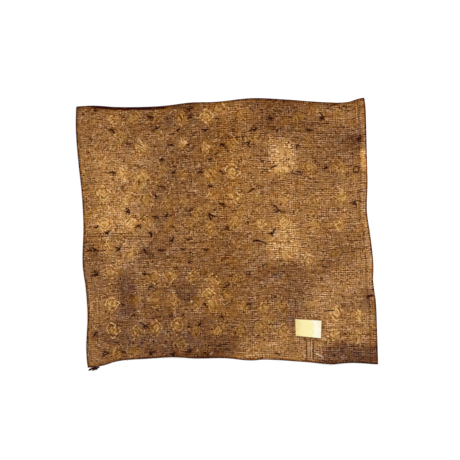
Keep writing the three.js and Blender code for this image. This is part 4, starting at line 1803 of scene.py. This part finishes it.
@dataclass
class StrandWork:
    """Lays strands as thin tapered rods of four sides."""

    surface: SheetSurface
    sides: int = 4
    flatness: float = 0.7
    taper: float = 0.55
    clear: float = 0.2 * MM
    arch: float = 0.5 * MM
    warmth: float = 0.4

    def rod(self, batch: Batch, spine: Array, thick: Array, tone: float) -> None:
        """Adds one rod along its points.

        Args:
            batch: where the rods are gathered.
            spine: the rod's middle line.
            thick: its half-width at each point.
            tone: its tone.
        """
        along = np.gradient(spine, axis=0)
        aside = SheetSurface.unit(np.stack([-along[:, 1], along[:, 0], np.zeros(len(along))], axis=-1))
        up = np.array([0.0, 0.0, self.flatness])
        local, faces = rod_shape(self.sides, len(spine))
        ring, count = local[:, 2].astype(int), len(local)
        points = spine[ring] + thick[ring, None] * (local[:, :1] * aside[ring] + local[:, 1:2] * up)
        batch.add(points, faces, DYE.paint(np.full(count, tone), np.full(count, self.warmth)))

    def lay(self, batch: Batch, plan: Array, width: float, tone: float, arch: float = 0.0) -> None:
        """Adds one strand that lies on the sheet.

        Args:
            batch: where the strands are gathered.
            plan: the strand's points seen from above.
            width: its width in metres.
            tone: its tone.
            arch: how far its middle stands off the sheet, in metres.
        """
        spine = self.surface.lay(plan[:, 0], plan[:, 1])
        s = np.linspace(-1, 1, len(spine))
        thick = 0.5 * width * (1 - self.taper * s**2)
        spine[:, 2] += self.clear + self.flatness * thick + arch * (1 - s**2)
        self.rod(batch, spine, thick, tone)

    def strands(self, rows: tuple[Strand, ...], name: str, material: Material, slot: str) -> Piece:
        """Lays a table of loose strands as one piece.

        Args:
            rows: the strands.
            name: the piece's name.
            material: its finish.
            slot: handed on to the batch, which does not use it.

        Returns:
            The new object.
        """
        batch = Batch()
        for row in rows:
            self.lay(batch, row.path(), row.width * MM, row.tone, self.arch)
        return batch.piece(name, material, slot)


@dataclass(frozen=True)
class Thread(Charted):
    """One dark thread along the weave: its lattice line, where on it it starts and ends, and its weight."""

    line: float
    start: float
    end: float
    weight: float = 1.0


DARK_WEFTS = Thread.table(
    (6.65, 9, 11.8), (4.5, 7.1, 9.4), (4.9, -1.1, -0.1), (4.25, 10.2, 11.5), (1.95, 10.6, 11.4),
    (7.85, 9.8, 10.8), (7.5, 9.8, 11.8), (8.75, 5.7, 8.2), (4.55, -1.1, 1.1), (4.25, 6.5, 9),
    (4.05, 7.8, 9.9), (5.25, 0.4, 1.6), (3.85, 5.5, 6.8), (8.1, 9.8, 11.8), (4.4, -1.1, 1.8),
    (1.4, 6.1, 11.4), (3.05, 9.9, 11.4), (3.6, 3.3, 7), (2.75, 6.5, 10.3), (8.25, 1.2, 8.1),
    (1.7, 5.2, 8), (2.65, 8.8, 11.4), (1.1, 3, 3.6), (1.3, 2.9, 3.7), (1.4, 2.3, 3.4), (1.55, 2.4, 4.3),
    (2.1, 3, 3.9), (2.25, 2.4, 4.3), (2.7, 3, 3.6), (4.28, -1.1, 0.9, 1.6), (4.38, -1, 1.8, 1.5),
    (4.6, -1.2, 0.1, 1.5), (4.93, -1.1, 0, 1.6), (5.2, 0.4, 3.5, 1.2), (5.3, -1.2, -0.3, 1.4),
    (5.57, 1.3, 3.4, 1.2), (4.47, 0, 1.2, 1.3),
)
DARK_WARPS = Thread.table(
    (11.1, -0.6, 0.3), (8.35, 1.1, 2.7), (4.45, 1.5, 2.7), (7.4, 2.2, 4.3), (6.45, -0.6, 2),
    (11.25, 0.6, 3.5), (7.1, -0.6, 2.2), (3.3, 6.1, 8.6), (7.4, 0.4, 1.9), (-0.55, 6.1, 8.5),
    (5, -0.5, 0.7), (9.2, 0.3, 2.7), (0.55, -0.3, 1.1), (2.65, 4.3, 5.9), (1.8, -0.3, 1),
    (6.4, 6.9, 8.6), (8.6, 3.3, 5.1), (8.05, 4.3, 6.9), (3.55, 2.7, 4.5),
)


@dataclass
class DarkThreads:
    """Dark threads that show here and there along the weave, drawn with many short strokes."""

    surface: SheetSurface
    step: float = 6 * MM
    width: float = 1.7 * MM
    step_spread: Pair = (0.8, 1.4)
    width_spread: Pair = (0.5, 1.2)
    waver: Pair = (0.015, 1.7)
    sway: float = 0.04
    drop: float = -0.26
    uneven: float = 0.07
    rise: float = 0.8 * MM
    seed: int = 61

    def build(self, material: Material) -> Piece:
        """Lays every dark weft and every dark warp.

        Args:
            material: their finish.

        Returns:
            The new object.
        """
        rng = np.random.default_rng(self.seed)
        batch = Batch()
        amount, number = self.waver
        upright = math.radians(90)
        ways = ((DARK_WEFTS, LATTICE.column, 0.0), (DARK_WARPS, LATTICE.row, upright))
        for thread, pitch, turn in ((thread, *way) for threads, *way in ways for thread in threads):
            count = round((thread.end - thread.start) * pitch / self.step)
            along = np.linspace(thread.start, thread.end, count)
            across = thread.line + amount * np.sin(number * along + thread.line)
            x, y = LATTICE.place(*((across, along) if turn else (along, across)))
            tone = TONES.tone(x, y) + rng.normal(self.drop * thread.weight, self.uneven, count)
            length = self.step * rng.uniform(*self.step_spread, count)
            width = self.width * thread.weight * rng.uniform(*self.width_spread, count)
            size = np.stack([length, width], axis=-1)
            middle = self.surface.lay(x, y)
            middle[:, 2] += self.rise * (thread.weight - 1)
            dye = DYE.paint(np.clip(tone, 0, 1), TONES.warmth(x, y))
            turns = turn + rng.normal(0, self.sway, count)
            STROKE.scatter(batch, middle, turns, size, np.zeros(count), dye)
        return batch.piece("dark_threads", material, "raffia_ground")


@dataclass
class TiedKnots:
    """Dark knots where the coloured strands are tied off, each with its short cut ends."""

    work: StrandWork
    stretch: Colour = (1.55, 0.7, 0.9)
    lumps: Pair = (0.75, 1.1)
    sunk: float = 0.5 * MM
    dark: Pair = (0.0, 0.03)
    faded: Pair = (0.03, 0.15)
    warmth: float = 0.7
    ends: tuple[int, int] = (1, 4)
    few_ends: tuple[int, int] = (0, 2)
    tail: Pair = (6 * MM, 10 * MM)
    tail_width: float = 2.2 * MM
    tail_spread: Pair = (0.6, 1.1)
    tail_turn: float = 0.5
    tail_start: float = 0.2
    tail_steps: int = 5
    tail_arch: float = 0.3 * MM
    seed: int = 37

    def build(self, material: Material) -> Piece:
        """Ties every knot on the chart.

        Args:
            material: their finish.

        Returns:
            The new object.
        """
        rng = np.random.default_rng(self.seed)
        ball = bmesh.new()
        bmesh.ops.create_icosphere(ball, subdivisions=1, radius=1.0)
        points, faces = small_shape(ball)
        count = len(points)
        batch = Batch()
        for knot in Knot.chart():
            small = knot.kind is KnotKind.SMALL
            tone = float(rng.uniform(*(self.faded if small else self.dark)))
            radius, height = (size * MM for size in knot.kind.value)
            size = np.array(self.stretch) * (radius, radius, height)
            x, y, z = (points * rng.uniform(*self.lumps, (count, 1)) * size).T
            base = self.work.surface.lay([knot.x], [knot.y])[0]
            cos, sin = math.cos(knot.turn), math.sin(knot.turn)
            turned = np.stack([x * cos - y * sin, x * sin + y * cos, np.maximum(z, -self.sunk)], axis=-1)
            batch.add(base + turned, faces, DYE.paint(np.full(count, tone), np.full(count, self.warmth)))
            for end in range(int(rng.integers(*(self.few_ends if small else self.ends)))):
                self.cut_end(batch, rng, knot, end, tone)
        return batch.piece("tied_knots", material, "dark_raffia")

    def cut_end(self, batch: Batch, rng: Draws, knot: Knot, end: int, tone: float) -> None:
        """Adds one short cut end of a knot.

        Args:
            batch: where the knots are gathered.
            rng: the knots' own random draws.
            knot: the knot.
            end: which of its ends, so that they point different ways.
            tone: its tone.
        """
        heading = knot.turn + math.pi * end + rng.normal(0, self.tail_turn)
        s = np.linspace(self.tail_start, 1, self.tail_steps)
        way = heading + rng.normal(0, self.tail_turn) * s**2
        reach = rng.uniform(*self.tail) * s
        plan = np.stack([knot.x + reach * np.cos(way), knot.y + reach * np.sin(way)], axis=-1)
        self.work.lay(batch, plan, self.tail_width * rng.uniform(*self.tail_spread), tone, self.tail_arch)


@dataclass(frozen=True)
class DarnBar(Charted):
    """One bar of the darn: its lattice column, the rows where it starts and ends, and its tone."""

    column: float
    top: float
    bottom: float
    tone: float


@dataclass
class HemSewing:
    """Running stitches along the right hem, and the bars of a darn near the bottom edge."""

    surface: SheetSurface
    work: StrandWork
    pitch: float = 6.4 * MM
    pitch_spread: float = 0.1
    stitch: Pair = (3.4 * MM, 2.3 * MM)
    stitch_spread: Pair = (0.8, 1.2)
    inset: float = 14 * MM
    stray: float = 0.6 * MM
    ends: Pair = (0.04, 0.97)
    tone: Pair = (0.12, 0.05)
    warmth: float = 0.3
    darn: tuple[DarnBar, ...] = DarnBar.table(
        (8.88, 8.32, 9.1, 0.2), (8.98, 8.32, 9.08, 0.85), (9.1, 8.3, 9.1, 0.9), (9.2, 8.35, 9.08, 0.25),
        (9.56, 8.4, 9.1, 0.72))
    darn_width: float = 2.0 * MM
    darn_waver: float = 0.2 * MM
    darn_steps: int = 10
    seed: int = 53

    def build(self, material: Material) -> Piece:
        """Sews the right hem and the darn as one piece.

        Args:
            material: their finish.

        Returns:
            The new object.
        """
        rng = np.random.default_rng(self.seed)
        batch = Batch()
        width, height = self.surface.size
        down = np.arange(*self.ends, self.pitch / height)
        count = len(down)
        down = down + rng.normal(0, self.pitch_spread, count) * self.pitch / height
        middle = self.surface.at(1 - (self.inset + rng.normal(0, self.stray, count)) / width, down)
        size = rng.uniform(*self.stitch_spread, (count, 2)) * self.stitch
        dye = DYE.paint(np.clip(rng.normal(*self.tone, count), 0, 1), np.full(count, self.warmth))
        STROKE.scatter(batch, middle, np.full(count, math.radians(90)), size, np.zeros(count), dye)
        steps = self.darn_steps
        for bar in self.darn:
            x, y = LATTICE.place(np.full(steps, bar.column), np.linspace(bar.top, bar.bottom, steps))
            plan = np.stack([x + self.darn_waver * np.sin(np.arange(steps)), y], axis=-1)
            self.work.lay(batch, plan, self.darn_width, bar.tone)
        return batch.piece("hem_sewing", material, "raffia_ground")


@dataclass
class SewnLabel:
    """The bare label: a thin patch of cotton lying on the cloth, its corners a little curled."""

    finish: LabelFinish = LabelFinish()
    cells: tuple[int, int] = (28, 18)
    thickness: float = 0.5 * MM
    curl: float = 0.9 * MM
    curl_powers: tuple[int, int] = (4, 3)
    swell: float = 0.2 * MM
    swell_waves: Pair = (3.1, 2)

    def build(self) -> Piece:
        """Builds the label on its own solid's corners.

        Returns:
            The new object, which replaces the label.
        """
        points = np.array([vert.co[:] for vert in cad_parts["label"].data.vertices])
        base = float(points[:, 2].min()) + self.thickness
        tl, tr, br, bl = (points[np.argmax(points[:, :2] @ np.array(lean)), :2]
                          for lean in SheetSurface.CORNERS)
        sheet = bmesh.new()
        bmesh.ops.create_grid(sheet, x_segments=self.cells[0], y_segments=self.cells[1], size=0.5)
        face = sheet.loops.layers.uv.new("face")
        for loop in (loop for polygon in sheet.faces for loop in polygon.loops):
            loop[face].uv = (loop.vert.co.x + 0.5, loop.vert.co.y + 0.5)
        for vert in sheet.verts:
            u, v = vert.co.x + 0.5, 0.5 - vert.co.y
            spot = (1 - v) * ((1 - u) * tl + u * tr) + v * ((1 - u) * bl + u * br)
            lift = self.curl * abs(2 * u - 1) ** self.curl_powers[0] * abs(2 * v - 1) ** self.curl_powers[1]
            wave = math.sin(self.swell_waves[0] * u + self.swell_waves[1] * v)
            vert.co = (*spot, base + lift + self.swell * wave**2)
        for vert in lower_face(sheet):
            vert.co.z -= self.thickness
        mesh = sheet_mesh(sheet, "sewn_label")
        piece = place_piece(mesh, "sewn_label", self.finish.material())
        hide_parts("label")
        return piece


@dataclass
class FrayedTuft:
    """The dark tuft at the lower left corner: frayed strands lying on the floor."""

    work: StrandWork
    count: int = 80
    steps: int = 6
    width: Pair = (1.6 * MM, 2.8 * MM)
    taper: float = 0.5
    reach: Pair = (6 * MM, 12 * MM)
    heading: Pair = (203, 216)
    sway: float = 0.12
    roots: Pair = (0.3, 0.68)
    root_drop: float = 0.5 * MM
    root_slope: float = 2 * MM
    pile: float = 1.0 * MM
    settling: float = 0.8
    tone: Pair = (0.0, 0.04)
    seed: int = 71

    def build(self, material: Material) -> Piece:
        """Frays the tuft inside the box of its solid.

        Args:
            material: its finish.

        Returns:
            The new object, which replaces the corner tuft.
        """
        rng = np.random.default_rng(self.seed)
        low, high = (np.array(corner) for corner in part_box("corner_tuft"))
        batch = Batch()
        s = np.linspace(0, 1, self.steps)
        for index in range(self.count):
            f = (index + 0.5) / self.count
            root_x = low[0] + (self.roots[0] + self.roots[1] * f) * (high[0] - low[0])
            root_y = high[1] - self.root_drop - (1 - f) * self.root_slope
            way = math.radians(rng.uniform(*self.heading)) + rng.normal(0, self.sway) * s
            reach = rng.uniform(*self.reach) * s
            x = np.clip(root_x + reach * np.cos(way), low[0], high[0])
            y = np.clip(root_y + reach * np.sin(way), low[1], high[1])
            thick = 0.5 * rng.uniform(*self.width) * (1 - self.taper * s)
            z = self.work.flatness * thick + rng.uniform(0, self.pile) * (1 - self.settling * s)
            self.work.rod(batch, np.stack([x, y, z], axis=-1), thick, float(rng.uniform(*self.tone)))
        piece = batch.piece("frayed_tuft", material, "dark_raffia")
        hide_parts("corner_tuft")
        return piece


@dataclass
class Studio:
    """A pale floor, soft even light and a camera straight above the cloth."""

    middle: Pair = (6.35 * MM, 9.9 * MM)
    view: float = 460 * 2.1 * MM
    height: float = 3.0
    sensor: float = 36.0
    floor_size: float = 8.0
    floor_drop: float = 0.3 * MM
    floor_grey: float = 0.6
    floor_glow: float = 0.5
    floor_roughness: float = 0.9
    sky: float = 0.95
    lamp_watts: float = 30.0
    lamp_size: float = 1.6
    lamp_place: Colour = (1.5, 1.6, 2.0)

    WHITE: ClassVar[tuple[float, ...]] = (1.0, 1.0, 1.0, 1.0)

    def build(self) -> None:
        """Sets up the floor, the light and the camera."""
        self.floor()
        self.light()
        self.camera()

    def floor(self) -> None:
        """Lays the floor just under the cloth."""
        sheet = bmesh.new()
        bmesh.ops.create_grid(sheet, x_segments=4, y_segments=4, size=self.floor_size / 2)
        bmesh.ops.translate(sheet, verts=sheet.verts, vec=(0, 0, -self.floor_drop))
        mesh = bpy.data.meshes.new("floor")
        sheet.to_mesh(mesh)
        sheet.free()
        graph = Graph("pale_floor")
        ports = graph.shader.inputs
        ports["Base Color"].default_value = (*[self.floor_grey] * 3, 1.0)
        ports["Emission Color"].default_value = self.WHITE
        ports["Emission Strength"].default_value = self.floor_glow
        ports["Roughness"].default_value = self.floor_roughness
        mesh.materials.append(graph.material)
        floor = bpy.data.objects.new("floor", mesh)
        bpy.context.scene.collection.objects.link(floor)
        floor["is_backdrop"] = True

    def light(self) -> None:
        """Adds an even white sky and one large soft lamp from the upper right."""
        scene = bpy.context.scene
        scene.view_settings.view_transform = "Standard"
        scene.view_settings.look = "None"
        world = bpy.data.worlds.new("studio_sky")
        world.use_nodes = True
        sky = world.node_tree.nodes["Background"]
        sky.inputs["Color"].default_value = self.WHITE
        sky.inputs["Strength"].default_value = self.sky
        scene.world = world
        lamp = bpy.data.lights.new("soft_lamp", "AREA")
        lamp.size = self.lamp_size
        lamp.energy = self.lamp_watts
        holder = bpy.data.objects.new("soft_lamp", lamp)
        holder.location = self.lamp_place
        holder.rotation_euler = (-holder.location).to_track_quat("-Z", "Y").to_euler()
        scene.collection.objects.link(holder)

    def camera(self) -> None:
        """Adds the camera, looking straight down."""
        lens = bpy.data.cameras.new("overhead")
        lens.sensor_width = self.sensor
        lens.lens = lens.sensor_width * self.height / self.view
        eye = bpy.data.objects.new("overhead", lens)
        eye.location = (*self.middle, self.height)
        bpy.context.scene.collection.objects.link(eye)
        bpy.context.scene.camera = eye


def write_sizes(before: tuple[Vector, Vector]) -> None:
    """Gathers the solid's box and the dressed cloth's box as lists, which are not kept.

    Args:
        before: the lowest and highest corner straight after loading.
    """
    boxes = {"cad": before, "visual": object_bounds()}
    {name: [list(corner) for corner in box] for name, box in boxes.items()}


def main() -> None:
    """Builds the cloth piece by piece, then the studio around it."""
    logging.basicConfig(level=logging.INFO, format="%(message)s")
    solid_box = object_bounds()
    surface = SheetSurface(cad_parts["cloth"])
    log.info("sheet of %.3f by %.3f m", *surface.size)
    work = StrandWork(surface)
    stitched = StrandFinish("stitched_raffia").material()
    dark = StrandFinish("dark_raffia", specular=0.02).material()
    panel = WovenPanel(surface).build()
    sewn = [StitchBacks(surface).build(kind, stitched) for kind in STITCH_KINDS]
    sewn += [
        DarkThreads(surface).build(stitched),
        LozengeRows(surface).build(stitched),
        TiedKnots(work).build(dark),
        work.strands(DARK_STRANDS, "dark_strands", dark, "dark_raffia"),
        work.strands(PALE_STRANDS, "pale_strands", stitched, "raffia_ground"),
        HemSewing(surface, work).build(stitched),
        FrayedTuft(work).build(dark),
    ]
    label = SewnLabel().build()
    Studio().build()
    write_sizes(solid_box)


if __name__ == "__main__":
    main()
